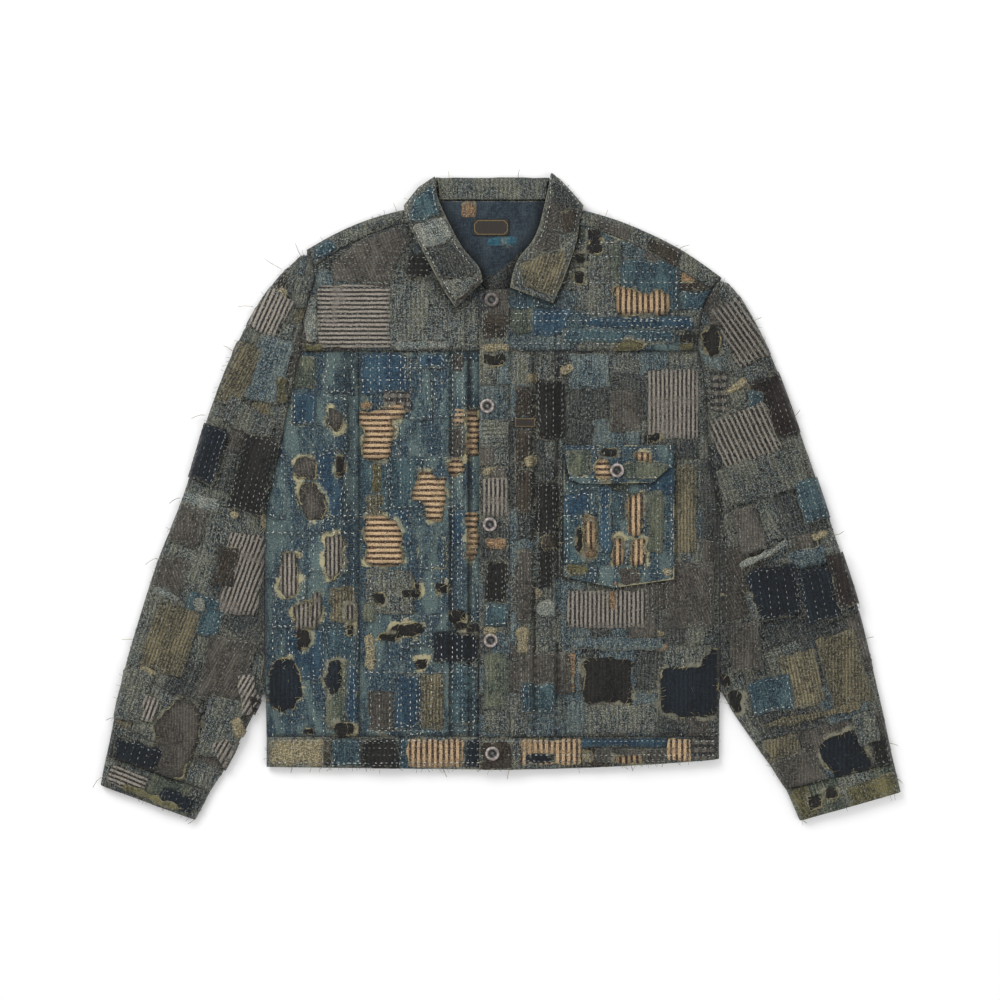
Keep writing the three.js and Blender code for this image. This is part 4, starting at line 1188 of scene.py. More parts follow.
        ("coal", "patch", 20, [(-88, 284), (-60, 294), (-46, 290), (-28, 268), (-40, 252),
                               (-70, 256)]),
        ("slate", "patch", 60, [(-66, 250), (-30, 256), (-26, 250), (-52, 226)]),
    ],
    "collar_leaf_left": [
        ("coal", "patch", 0, [(58, 368), (72, 360), (92, 338), (84, 330), (60, 344)]),
        ("umber", "patch", 20, [(66, 332), (90, 334), (86, 306), (68, 308)]),
        ("taupe", "patch", 60, [(44, 306), (66, 306), (68, 280), (34, 290)]),
        ("khaki", "patch", -20, [(20, 270), (74, 292), (76, 266), (60, 232), (28, 246)]),
    ],
    "neck_lining": [
        ("coal", "block", 20, [(24, 290), (40, 262), (14, 236), (-26, 236), (-26, 258), (-6, 262),
                               (8, 274)]),
        ("tan", "patch", 0, (-46, -29, 325, 343)), ("lining_teal", "patch", 0, (-14, 18, 293, 303)),
    ],
}
# The side that isn't seen from the front: the same cloths, larger and plainer
BACK_CHART = {
    "back_panel": [
        ("indigo", "patch", 0, (-262, -150, -262, -90)), ("slate", "patch", 0, (-262, -168, -84, 60)),
        ("tick", "patch", 90, (-150, -66, -60, 28)), ("navy", "patch", 0, (-140, -50, -190, -96)),
        ("khaki", "patch", 0, (-56, 36, -250, -150)), ("indigo", "patch", 0, (-50, 60, -130, 20)),
        ("cream_tick", "patch", 0, (-20, 34, 40, 92)), ("teal", "patch", 0, (70, 168, -70, 60)),
        ("taupe", "patch", 0, (60, 150, -200, -110)), ("black", "patch", 0, (160, 236, -150, -86)),
        ("slate", "patch", 0, (158, 244, -262, -170)), ("moss", "patch", 0, (176, 232, 10, 120)),
        ("umber", "patch", 0, (-160, -96, 90, 166)), ("indigo", "patch", 0, (50, 150, 84, 170)),
        ("pale", "patch", 0, (-226, -176, 80, 160)), ("tick", "patch", 0, (-80, -30, 100, 170)),
        ("blue", "patch", 0, (60, 140, -262, -212)),
    ],
    "back_yoke": [
        ("slate", "patch", 0, (-214, -130, 190, 270)), ("teal", "patch", 0, (-122, -40, 188, 250)),
        ("tick", "patch", 90, (-30, 50, 190, 240)), ("umber", "patch", 0, (60, 130, 190, 260)),
        ("indigo", "patch", 0, (136, 220, 186, 236)),
    ],
    "waistband_back": [
        ("khaki", "patch", 90, (-240, -150, -303, -276)), ("navy", "patch", 0, (-90, -10, -305, -276)),
        ("cream_tick", "patch", 90, (40, 90, -305, -276)), ("teal", "patch", 0, (140, 220, -300, -276)),
    ],
    "sleeve_right": [
        ("indigo", "patch", 70, turned(-270, 170, 60, 110, -24)),
        ("taupe", "patch", 70, turned(-312, 40, 70, 90, -18)),
        ("tick", "patch", 158, turned(-340, -70, 80, 60, -18)),
        ("navy", "patch", 70, turned(-350, -160, 90, 60, -16)),
        ("slate", "patch", 70, turned(-366, -262, 110, 70, -18)),
    ],
    "sleeve_left": [
        ("slate", "patch", 110, turned(276, 150, 60, 100, 24)),
        ("indigo", "patch", 110, turned(306, 30, 80, 80, 18)),
        ("khaki", "patch", 110, turned(330, -80, 90, 60, 16)),
        ("teal", "patch", 110, turned(342, -170, 90, 60, 14)),
        ("umber", "patch", 110, turned(360, -262, 100, 60, 18)),
    ],
}

# Sewing


def resampled(corners, step):
    """A closed outline at even steps."""
    p = np.array(corners, float)
    closed = np.vstack([p, p[:1]])
    length = lengths(closed)
    count = max(8, round(length[-1] / step))
    return along_line(np.linspace(0, length[-1], count, endpoint=False), length, closed)


def anticlockwise(outline):
    x, y = outline.T
    return np.sum(x * np.roll(y, -1) - np.roll(x, -1) * y) > 0


def outward(outline):
    """Square to a closed outline, away from its inside."""
    along = np.roll(outline, -1, axis=0) - np.roll(outline, 1, axis=0)
    square = np.stack([along[:, 1], -along[:, 0]], -1)
    square /= np.maximum(np.linalg.norm(square, axis=1), 1e-9)[:, None]
    return square if anticlockwise(outline) else -square


def torn(shape, kind, seed):
    """The outline of a patch as it was cut and has frayed since."""
    if len(shape) == 4 and not hasattr(shape[0], "__len__"):
        left, right, foot, top = shape
        shape = [(left, foot), (right, foot), (right, top), (left, top)]
    outline = resampled(shape, 3.0)
    size = np.ptp(outline, axis=0).min()
    rounds = {"block": 0, "patch": 1, "hole": max(2, int(size / 9)), "rag": 3}[kind]
    for _ in range(rounds):
        outline = (outline * 2 + np.roll(outline, 1, axis=0) + np.roll(outline, -1, axis=0)) / 4
    sway = {"block": 2.6, "patch": 1.7, "hole": min(3.4, 0.11 * size + 1), "rag": 2.2}[kind]
    x, y = outline.T
    shift = sway * noise(x, y, 9, seed) + 0.9 * noise(x, y, 3.4, seed + 1)
    return outline + outward(outline) * shift[:, None]


def filled(outline, host, step):
    """Triangles of an outline's inside, cut off at the host's edge."""
    low, high = outline.min(axis=0), outline.max(axis=0)
    gx, gy = np.meshgrid(np.arange(low[0] + step / 2, high[0], step),
                         np.arange(low[1] + step / 2, high[1], step * 0.87))
    gx = gx + (np.arange(len(gx)) % 2)[:, None] * step / 2
    grid = np.stack([gx.ravel(), gy.ravel()], -1)
    grid = grid[inside(grid, outline)]
    if len(grid):
        grid = grid[to_outline(grid, outline) > step * 0.45]
    points = [outline, grid]
    n = len(outline)
    edges = [(i, (i + 1) % n) for i in range(n)]
    crosses = not inside(outline, host).all()
    if crosses:
        first = n + len(grid)
        points.append(host)
        edges += [(first + i, first + (i + 1) % len(host)) for i in range(len(host))]
    points = np.concatenate(points)
    made = geometry.delaunay_2d_cdt([Vector(p) for p in points], edges, [], 0, 1e-4)
    p = np.array([tuple(v) for v in made[0]])
    faces = np.array([f for f in made[2] if len(f) == 3])
    middle = p[faces].mean(axis=1)
    keep = inside(middle, outline)
    if crosses:
        keep &= inside(middle, host)
    faces = faces[keep]
    used, faces = np.unique(faces, return_inverse=True)
    faces = faces.reshape(-1, 3)
    p = p[used]
    a, b, c = p[faces[:, 0]], p[faces[:, 1]], p[faces[:, 2]]
    area = (b[:, 0] - a[:, 0]) * (c[:, 1] - a[:, 1]) - (b[:, 1] - a[:, 1]) * (c[:, 0] - a[:, 0])
    faces[area < 0] = faces[area < 0][:, ::-1]
    return p, faces


def rim_edges(faces):
    """Directed edges that only one triangle uses."""
    directed = np.concatenate([faces[:, [0, 1]], faces[:, [1, 2]], faces[:, [2, 0]]])
    pairs = {(int(a), int(b)) for a, b in directed}
    return [(a, b) for a, b in pairs if (b, a) not in pairs]


ABOVE_ALL = 99.0  # height of what no tear above it can rub


class Work:
    """Everything sewn on one piece, gathered before it is made into a few joined objects."""

    def __init__(self):
        self.verts, self.faces, self.weave, self.count = [], [], [], 0
        self.tint, self.shade, self.worn, self.lifts = [], [], [], []
        self.which, self.cloths = [], []
        self.levels = []  # outline, height and kind of each patch so far
        self.stitches = {"white": [], "grey": []}
        self.frays = {"fray": [], "dull_fray": []}

    def take(self, verts, faces, weave, tint, shade, cloth, worn=0.0, lift=ABOVE_ALL):
        if cloth not in self.cloths:
            self.cloths.append(cloth)
        self.verts.append(verts)
        self.faces += [tuple(int(i) + self.count for i in f) for f in faces]
        self.which += [self.cloths.index(cloth)] * len(faces)
        self.weave.append(weave)
        for kept, values in ((self.tint, tint), (self.shade, shade), (self.worn, worn),
                             (self.lifts, lift)):
            kept.append(np.broadcast_to(values, len(verts)))
        self.count += len(verts)

    def height(self, p):
        """How far the patches already stand over the ground cloth."""
        top = np.zeros(len(p))
        for outline, lift, _ in self.levels:
            near = close_to(p, outline)
            if near.any():
                hit = np.zeros(len(p), bool)
                hit[near] = inside(p[near], outline)
                top = np.where(hit, np.maximum(top, lift), top)
        return top

    def rubbed(self, p, lifts):
        """How far the cloth is rubbed down round the tears above it."""
        worn = np.zeros(len(p))
        for outline, lift, kind in self.levels:
            if kind == "block":
                continue
            reach, most = {"hole": (6.0, 0.92), "patch": (2.6, 0.5), "rag": (3.0, 0.4)}[kind]
            near = np.flatnonzero(close_to(p, outline, 12) & (lifts < lift))
            if not len(near):
                continue
            q = p[near]
            amount = most * falloff(to_outline(q, outline), reach) * (
                0.62 + noise(q[:, 0], q[:, 1], 9, int(lift * 100)))
            worn[near] = np.maximum(worn[near], amount)
        return worn

    def in_hole(self, p):
        hit = np.zeros(len(p), bool)
        for outline, _, kind in self.levels:
            if kind == "hole":
                hit |= inside(p, outline)
        return hit


# Blue cloths are stitched in white, all others in grey
YARN_OF = {"indigo": "white", "blue": "white", "teal": "white"}
BLOCK_LAYERS = [0.52, 0.98, 1.44, 1.9]  # heights of the blocks' faces over the ground cloth
PULLED_TIGHT = np.array([0.35, 0.35, 1.0])  # how far sewn cloth stands out of a folded edge
# What each kind of work is like: fullness and height of its rim, its width, share that frays
RIMS = {"block": (-9, 1.0, 0.9, 0.13), "patch": (-0.2, 1.0, 1.0, 0.42),
        "hole": (0.06, 1.15, 1.2, 0.55), "rag": (-0.1, 0.8, 1.0, 0.3)}


def sew(work, surface, host, cloth, kind, turn, shape, seed, thin=False):
    """One patch, hole or rag with its torn rim, its edge stitches and its frays."""
    rng = np.random.default_rng(seed)
    outline = torn(shape, kind, seed)
    low, high = outline.min(axis=0), outline.max(axis=0)
    taken = [0.0]
    for other, lift, _ in work.levels:
        o_low, o_high = other.min(axis=0), other.max(axis=0)
        shared = np.minimum(high, o_high) - np.maximum(low, o_low)
        if (shared > 0.4).all():
            taken.append(lift)
    level = max(taken)
    if kind == "block":  # blocks share a few layers, so the cloth doesn't build up
        free = [n for n, top in enumerate(BLOCK_LAYERS)
                if not any(abs(t - top) < 0.05 for t in taken)]
        level = 0 if not free or free[0] == 0 else BLOCK_LAYERS[free[0] - 1]
    foot = level + 0.12 if level else 0.18
    lift = foot + (0.34 if kind == "block" else 0.5)
    if thin:
        foot = 0.08 if kind == "block" or level == 0 else 0.35
        lift = foot + 0.35
    p, faces = filled(outline, host, 7.0 if thin else 2.8 if kind == "rag" else 5.8)
    if not len(faces):
        return
    at, lean = surface(p)
    rim = rim_edges(faces)
    on_rim = np.zeros(len(p), bool)
    on_rim[[a for a, _ in rim]] = True
    puff = 0.18 * noise(p[:, 0], p[:, 1], 6, seed + 2)
    if kind == "rag":
        puff = 0.3 + 0.6 * noise(p[:, 0], p[:, 1], 4.2, seed + 2)
    if thin:
        puff = puff * 0
    lean = lean * PULLED_TIGHT
    high_side = at + lean * (lift + np.where(on_rim, -0.22, np.maximum(puff, -0.2)))[:, None]
    low_side = at + lean * foot
    n = len(p)
    flip = lean[:, 2].mean() < 0
    top_faces = faces[:, ::-1] if flip else faces
    both = [tuple(f) for f in top_faces] + [tuple(f[::-1] + n) for f in top_faces]
    for a, b in rim:
        both.append((a, b, b + n, a + n) if flip else (b, a, a + n, b + n))
    c, s = math.cos(math.radians(turn)), math.sin(math.radians(turn))
    offset = rng.uniform(-40, 40, 2)
    weave = np.stack([p[:, 0] * c + p[:, 1] * s, -p[:, 0] * s + p[:, 1] * c], -1) + offset
    tint = rng.uniform(0.9, 1.1) if kind == "block" else rng.uniform(0.86, 1.12)
    d = to_outline(p, outline)
    # painted shade just inside the rim of a hole
    shade = 0.5 * (1 - ease(d, 0.5, 5.0)) if kind == "hole" else np.zeros(n)
    worn = np.zeros(n) if kind == "hole" else (
        {"block": 0.28, "patch": 0.42, "rag": 0.5}[kind]
        * (1 + 0.8 * noise(p[:, 0], p[:, 1], 13, seed + 5)) * (1 - ease(d, 0.2, 2.6)))
    work.take(np.concatenate([high_side, low_side]), both, np.tile(weave, (2, 1)), tint,
              np.tile(shade, 2), cloth, np.tile(worn, 2), lift)

    # The rim: a ragged roll of yarn that thins out here and there
    within = inside(outline, host)
    square = outward(outline)
    full = (0.5 * noise(outline[:, 0], outline[:, 1], 14, seed + 3)
            + 0.5 * noise(outline[:, 0], outline[:, 1], 5, seed + 4))
    fullness, tall, wide, share = RIMS[kind]
    full = np.clip(full + fullness, 0, 1) * tall
    if not thin:
        wide = wide * (0.75 + 0.5 * noise(outline[:, 0], outline[:, 1], 6, seed + 6))[:, None]
        ring_at, ring_lean = surface(outline)
        ring_lean = ring_lean * PULLED_TIGHT
        out_at, _ = surface(outline + square * wide)
        in_at, _ = surface(outline - square * wide)
        crown = ring_at + ring_lean * (lift + 0.75 * full - 0.12)[:, None]
        outer = out_at + ring_lean * (foot - 0.1)
        inner = in_at + ring_lean * (lift - 0.15)
        m = len(outline)
        nxt = (np.arange(m) + 1) % m
        keep = within & within[nxt] & (full > 0.12) & (full[nxt] > 0.12)
        flat = np.concatenate([outer, crown, inner])
        ring = [(a * m + k, a * m + nxt[k], b * m + nxt[k], b * m + k)
                for k in np.flatnonzero(keep) for a, b in ((0, 1), (1, 2), (2, 0))]
        ring += [(2 * m + k, m + k, k) for k in np.flatnonzero(keep & ~np.roll(keep, 1))]
        ring += [(k, m + k, 2 * m + k) for k in nxt[keep & ~np.roll(keep, -1)]]
        if anticlockwise(outline) == flip:
            ring = [f[::-1] for f in ring]
        rim_cloth = "rim" if kind in ("hole", "rag") and cloth != "pale" else "dull_rim"
        if ring:
            used, inverse = np.unique(np.concatenate([np.array(f) for f in ring]),
                                      return_inverse=True)
            moved, k = [], 0
            for f in ring:
                moved.append(tuple(inverse[k:k + len(f)]))
                k += len(f)
            work.take(flat[used], moved, flat[used][:, :2], rng.uniform(0.8, 1.1), 0.0, rim_cloth)
        # Frays, which lie outwards, or either way round a hole
        pick = within & (rng.uniform(size=m) < share)
        angle = rng.uniform(-0.9, 0.9, m)
        if kind == "hole":
            angle += np.where(rng.uniform(size=m) < 0.5, math.pi, 0)
        ca, sa = np.cos(angle), np.sin(angle)
        way = np.stack([square[:, 0] * ca - square[:, 1] * sa,
                        square[:, 0] * sa + square[:, 1] * ca, 0 * ca], -1)
        root = ring_at + ring_lean * (lift + 0.15)
        size = rng.uniform(0.6, 1.5, m)
        colour = "fray" if rim_cloth == "rim" else "dull_fray"
        work.frays[colour].append((root[pick], way[pick], ring_lean[pick], size[pick]))
    work.levels.append((outline, lift, kind))

    # Running stitches just inside the edge
    if kind in ("patch", "block") and min(high - low) > 14:
        inset = resampled(outline - square * 3.4, 6.6)
        good = inside(inset, host) & inside(inset, outline)
        along = np.roll(inset, -1, axis=0) - inset
        add_stitches(work, surface, inset[good], along[good], YARN_OF.get(cloth, "grey"), lift,
                     rng)


def add_stitches(work, surface, p, along, yarn_name, lift, rng):
    if not len(p):
        return
    at, lean = surface(p)
    along = np.column_stack([along, np.zeros(len(p))])
    along /= np.maximum(np.linalg.norm(along, axis=1), 1e-9)[:, None]
    at = at + lean * PULLED_TIGHT * (np.broadcast_to(lift, len(p)) + 0.12)[:, None]
    size = rng.uniform(0.75, 1.2, len(p))
    work.stitches[yarn_name].append((at, along, lean, size))


def rows_of_stitches(work, surface, host, lines, yarn_name, seed, pitch, skip):
    """Running stitches along each line, over whatever is sewn there already but not in holes."""
    rng = np.random.default_rng(seed)
    for line in lines:
        line = np.array(line, float)
        length = lengths(line)
        s = np.arange(rng.uniform(0, pitch), length[-1], pitch)
        s = s + rng.uniform(-0.7, 0.7, len(s))
        p, ahead = along_line(s, length, line), along_line(s + 2, length, line)
        along = ahead - p
        p = p + np.stack([0.8 * noise(*p.T, 24, seed), 0.6 * noise(*p.T, 24, seed + 1)], -1)
        keep = inside(p, host) & (rng.uniform(size=len(p)) > skip)
        rng.uniform(size=len(p))  # a draw that nothing uses, which keeps the later ones in order
        keep &= ~work.in_hole(p) & (np.linalg.norm(along, axis=1) > 0.5)
        p, along = p[keep], along[keep]
        add_stitches(work, surface, p, along, yarn_name, work.height(p), rng)


# Geometry Nodes that put one small shape at each point, laid along its "along"


def laid_at_points(name, shape, sizes, seed):
    """A tree whose inputs are the points, sizes and a seed; shape(tree, sockets) makes one."""
    tree = bpy.data.node_groups.new(name, "GeometryNodeTree")
    face = tree.interface
    face.new_socket("Points", in_out="INPUT", socket_type="NodeSocketGeometry")
    for label, value in sizes.items():
        face.new_socket(label, in_out="INPUT",
                        socket_type="NodeSocketFloat").default_value = value
    face.new_socket("Seed", in_out="INPUT", socket_type="NodeSocketInt").default_value = seed
    face.new_socket("Yarn", in_out="INPUT", socket_type="NodeSocketMaterial")
    face.new_socket("Geometry", in_out="OUTPUT", socket_type="NodeSocketGeometry")
    given = add(tree, "NodeGroupInput").outputs

    def stored(label, kind):
        node = add(tree, "GeometryNodeInputNamedAttribute", {"Name": label}, data_type=kind)
        return next(s for s in node.outputs if s.enabled and s.name == "Attribute")

    turn = add(tree, "FunctionNodeAxesToRotation", {
        "Primary Axis": stored("along", "FLOAT_VECTOR"),
        "Secondary Axis": stored("up", "FLOAT_VECTOR")}, primary_axis="X",
        secondary_axis="Z").outputs[0]
    spin = add(tree, "FunctionNodeRandomValue", {
        "Min": (-0.5, -0.25, -0.25), "Max": (0.5, 0.25, 0.25), "Seed": given["Seed"]},
        data_type="FLOAT_VECTOR").outputs[0]
    loose = add(tree, "ShaderNodeVectorMath", {0: spin, "Scale": given["Looseness"]},
                operation="SCALE").outputs[0]
    loose = add(tree, "FunctionNodeEulerToRotation", {0: loose}).outputs[0]
    turn = add(tree, "FunctionNodeRotateRotation", {0: turn, 1: loose},
               rotation_space="LOCAL").outputs[0]
    size = add(tree, "ShaderNodeCombineXYZ", {
        0: stored("size", "FLOAT"), 1: 1.0, 2: 1.0}).outputs[0]
    placed = add(tree, "GeometryNodeInstanceOnPoints", {
        "Points": given["Points"], "Instance": shape(tree, given), "Rotation": turn,
        "Scale": size}).outputs[0]
    real = add(tree, "GeometryNodeRealizeInstances", {0: placed}).outputs[0]
    soft = add(tree, "GeometryNodeSetShadeSmooth", {"Geometry": real}).outputs[0]
    made = add(tree, "GeometryNodeSetMaterial", {
        "Geometry": soft, "Material": given["Yarn"]}).outputs[0]
    add(tree, "NodeGroupOutput", {0: made})
    return tree


def stitch_shape(tree, given):
    """One stitch: a grain of thread, long in X, standing a little out of the cloth."""
    ball = add(tree, "GeometryNodeMeshUVSphere", {
        "Segments": 4, "Rings": 3, "Radius": 0.5}).outputs[0]
    scale = add(tree, "ShaderNodeCombineXYZ", {
        0: given["Length"], 1: given["Width"], 2: given["Width"]}).outputs[0]
    return add(tree, "GeometryNodeTransform", {"Geometry": ball, "Scale": scale}).outputs[0]


def fray_shape(tree, given):
    """One loose yarn end: a thread that leaves the cloth along X, climbs a little and falls."""
    end = add(tree, "ShaderNodeCombineXYZ", {0: given["Length"]}).outputs[0]
    line = add(tree, "GeometryNodeCurvePrimitiveLine", {"End": end}).outputs[0]
    line = add(tree, "GeometryNodeResampleCurve", {"Curve": line, "Count": 4}).outputs[0]
    place = add(tree, "GeometryNodeSplineParameter").outputs["Factor"]
    lift = calc(tree, "MULTIPLY", calc(tree, "SINE", calc(tree, "MULTIPLY", place, 3.6)),
                given["Climb"])
    sway = calc(tree, "MULTIPLY", calc(tree, "MULTIPLY", place, place), given["Climb"])
    shift = add(tree, "ShaderNodeCombineXYZ", {1: sway, 2: lift}).outputs[0]
    line = add(tree, "GeometryNodeSetPosition", {"Geometry": line, "Offset": shift}).outputs[0]
    ring = add(tree, "GeometryNodeCurvePrimitiveCircle", {
        "Resolution": 3, "Radius": given["Width"]}, mode="RADIUS").outputs[0]
    return add(tree, "GeometryNodeCurveToMesh", {
        "Curve": line, "Profile Curve": ring, "Fill Caps": True}).outputs[0]


stitch_tree = laid_at_points("running stitches", stitch_shape,
                             {"Length": 3.9 * MM, "Width": 1.15 * MM, "Looseness": 0.35}, 5)
fray_tree = laid_at_points("frayed ends", fray_shape,
                           {"Length": 5.0 * MM, "Width": 0.2 * MM, "Climb": 0.9 * MM,
                            "Looseness": 1.0}, 7)


def laid(name, groups, tree, yarn_material, **sizes):
    """The tree's shapes at the gathered points, as one plain mesh."""
    at, along, up, size = (np.concatenate([g[k] for g in groups]) for k in range(4))
    along = along - up * np.sum(along * up, axis=1)[:, None]
    along /= np.maximum(np.linalg.norm(along, axis=1), 1e-9)[:, None]
    mesh = bpy.data.meshes.new(name)
    mesh.from_pydata(((at + SHIFT) * MM).tolist(), [], [])
    for label, values in (("along", along), ("up", up)):
        mesh.attributes.new(label, "FLOAT_VECTOR", "POINT").data.foreach_set(
            "vector", np.ascontiguousarray(values, float).ravel())
    mesh.attributes.new("size", "FLOAT", "POINT").data.foreach_set("value", size)
    obj = bpy.data.objects.new(name, mesh)
    bpy.context.scene.collection.objects.link(obj)
    modifier = obj.modifiers.new("laid", "NODES")
    modifier.node_group = tree
    for item in tree.interface.items_tree:
        if item.item_type == "SOCKET" and item.in_out == "INPUT":
            if item.name == "Yarn":
                modifier[item.identifier] = yarn_material
            elif item.name in sizes:
                modifier[item.identifier] = sizes[item.name]
    result = bpy.data.meshes.new_from_object(
        obj.evaluated_get(bpy.context.evaluated_depsgraph_get()))
    obj.modifiers.clear()
    obj.data = result
    if not result.materials:
        result.materials.append(yarn_material)
    for label in ("along", "up", "size"):
        if label in result.attributes:
            result.attributes.remove(result.attributes[label])
    return obj


def thread(name, paths, radius, material, sides=5):
    """Loose threads as closed tubes through their points, ends closed."""
    verts, faces, weave = [], [], []
    for path in paths:
        path = np.array(path, float)
        t = np.gradient(path, axis=0)
        t /= np.linalg.norm(t, axis=1)[:, None]
        across = np.cross(t, [0, 0, 1.0])
        across /= np.maximum(np.linalg.norm(across, axis=1), 1e-6)[:, None]
        up = np.cross(across, t)
        base = len(verts)
        n = len(path)
        for k in range(n):
            r = radius * (0.6 if k in (0, n - 1) else 1)
            for s in range(sides):
                a = 2 * math.pi * s / sides
                verts.append(path[k] + r * (math.cos(a) * across[k] + math.sin(a) * up[k]))
                weave.append((k * 3.0, s * 1.0))
        for k in range(n - 1):
            for s in range(sides):
                a, b = base + k * sides + s, base + k * sides + (s + 1) % sides
                faces.append((a, a + sides, b + sides, b))
        faces.append(tuple(base + s for s in range(sides)))
        faces.append(tuple(base + (n - 1) * sides + s for s in reversed(range(sides))))
    return build(name, np.array(verts), faces, weave, materials=[material])


# The ground cloth of each piece, its flat cut (width, length, area; m and m2) and its slot

GROUND = {
    "front_side_panel_right": ("indigo", "body_cloth", (0.12, 0.46, 0.050)),
    "front_panel_right": ("indigo", "body_cloth", (0.22, 0.46, 0.095)),
    "front_panel_left": ("slate", "body_cloth", (0.30, 0.46, 0.125)),
    "buttonhole_band": ("slate", "body_cloth", (0.045, 0.53, 0.022)),
    "back_panel": ("slate", "body_cloth", (0.54, 0.47, 0.240)),
    "front_yoke_right": ("slate", "yoke_cloth", (0.25, 0.16, 0.030)),
    "front_yoke_left": ("indigo", "yoke_cloth", (0.25, 0.16, 0.029)),
    "back_yoke": ("slate", "yoke_cloth", (0.50, 0.20, 0.078)),
    "waistband_front_right": ("pale", "band_cloth", (0.29, 0.045, 0.0120)),
    "waistband_front_left": ("slate", "band_cloth", (0.29, 0.042, 0.0112)),
    "waistband_back": ("slate", "band_cloth", (0.54, 0.045, 0.0210)),
    "cuff_right": ("slate", "band_cloth", (0.28, 0.035, 0.0085)),
    "cuff_left": ("moss", "band_cloth", (0.28, 0.035, 0.0085)),
    "sleeve_right": ("slate", "sleeve_cloth", (0.30, 0.66, 0.155)),
    "sleeve_left": ("slate", "sleeve_cloth", (0.30, 0.66, 0.155)),
    "collar_leaf_right": ("slate", "collar_cloth", (0.10, 0.19, 0.0075)),
    "collar_leaf_left": ("slate", "collar_cloth", (0.10, 0.19, 0.0075)),
    "collar_back": ("slate", "collar_cloth", (0.22, 0.11, 0.0185)),
    "neck_lining": ("lining", "lining_cloth", (0.19, 0.12, 0.019)),
    "pocket": ("indigo", "pocket_cloth", (0.14, 0.16, 0.020)),
    "pocket_flap": ("indigo", "pocket_cloth", (0.14, 0.05, 0.0062)),
}
HOST_ARCS = {"sleeve_right": (0, 0.5), "sleeve_left": (0, 0.5), "cuff_right": (0, 0.5),
             "cuff_left": (0, 0.5)}

SEAMS_BELOW = [
    [(-229, YOKE_Y), (226, YOKE_Y)], [(-270, WAIST_Y), (251, WAIST_Y)],
    [(SIDE_X, 170), (SIDE_X, WAIST_Y)], [(BAND_EDGE_X, 240), (BAND_EDGE_X, WAIST_Y)],
    [(-270, -38), (SIDE_X, -38)], [(-270, -146), (SIDE_X, -146)],
]
# The body's sides, each with how dark the painted shade beside it is
FLANKS = [(np.array(SIDE_RIGHT, float), 0.16), (np.array(SIDE_LEFT, float), 0.34)]
# Painted shade along lines. Line, how dark and how far it reaches: seams, armholes, and where a sleeve
# lies against the body
PAINTED_SHADE_LINES = ([(np.array(line, float), 0.5, 2.2) for line in (*SEAMS_BELOW, SHOULDER_SEAM_RIGHT)]
              + [(np.array(line, float), 0.5, 3.0) for line in (ARMHOLE_RIGHT, ARMHOLE_LEFT)]
              + [(line, most, 17.0) for line, most in FLANKS])


ON_TOP = {"front_panel_left": ["pocket"], "pocket": ["pocket_flap"],
          "front_yoke_right": ["collar_leaf_right"], "front_yoke_left": ["collar_leaf_left"],
          "buttonhole_band": ["collar_leaf_right", "collar_leaf_left"],
          "neck_lining": ["collar_leaf_right", "collar_leaf_left"]}


def painted_contact_shadow(name, p):
    """Painted shadow: the dark line where another piece lies on this one."""
    dark = np.zeros(len(p))
    for other in ON_TOP.get(name, []):
        outline = pieces[other].outline()
        near = np.flatnonzero(close_to(p, outline, 12))
        if len(near):
            most, reach = (0.62, 9.0) if other.startswith("collar") else (0.66, 4.2)
            dark[near] = np.maximum(dark[near],
                                    most * falloff(to_outline(p[near], outline), reach))
    return dark


def painted_crease_shading(p):
    """Painted shade in the valleys of the creases, and painted light on their crests."""
    reach = 9.0
    around = sum(crumple(p + np.array(way) * reach) for way in ((1, 0), (-1, 0), (0, 1), (0, -1)))
    return np.clip(0.22 * (around / 4 - crumple(p)), -0.14, 0.3)


def painted_crevice_shade(name, p):
    """Painted shade where the cloth dips: at seams, in creases and in the folds of the pleats; also
    painted light on crease crests and painted shadow under what lies on it.
    """
    dark = painted_crease_shading(p)
    if name in ("buttonhole_band", "collar_back"):
        return painted_contact_shadow(name, p)
    for line, most, reach in PAINTED_SHADE_LINES:
        dark = np.maximum(dark, most * falloff(near_line(p, line), reach))
    if name == "front_side_panel_right":  # painted shade of the soft fold beside the panel seam
        fold = falloff(p[:, 0] + 176, 9.0) * ease(p[:, 1], -170, -60)
        dark = np.maximum(dark, 0.42 * fold)
    # painted shade in the folds of the pleats
    if name.startswith("front_panel"):
        for x in PLEATS:
            side = 1 if x < 0 else -1
            into = (p[:, 0] - x) * side
            dark = np.maximum(dark, 0.78 * ease(into, -0.6, 0.6) * (1 - ease(into, 1.6, 8)))
    # painted shade along the seam between sleeve and cuff
    if name.startswith("sleeve") or name.startswith("cuff"):
        cuff = name.split("_")[1]
        hem_inner, hem_outer = sleeve_lines[f"cuff_{cuff}"]
        d = to_segments(p, hem_inner(np.zeros(1)), hem_outer(np.zeros(1)))[0]
        dark = np.maximum(dark, 0.45 * falloff(d, 2.4))
    return np.maximum(dark, painted_contact_shadow(name, p))


# What is sewn on each piece


def upright_lines(xs, foot, top):
    return [[(x, foot), (x, top)] for x in xs]


def level_lines(ys, left, right):
    return [[(left, y), (right, y)] for y in ys]


def sleeve_rows(name, shares, low=0.0, high=1.0):
    """Lines down a sleeve at the given shares of its width."""
    inner_line, outer_line = sleeve_lines[name]
    v = evenly(40, low, high)
    return [inner_line(v) * (1 - s) + outer_line(v) * s for s in shares]


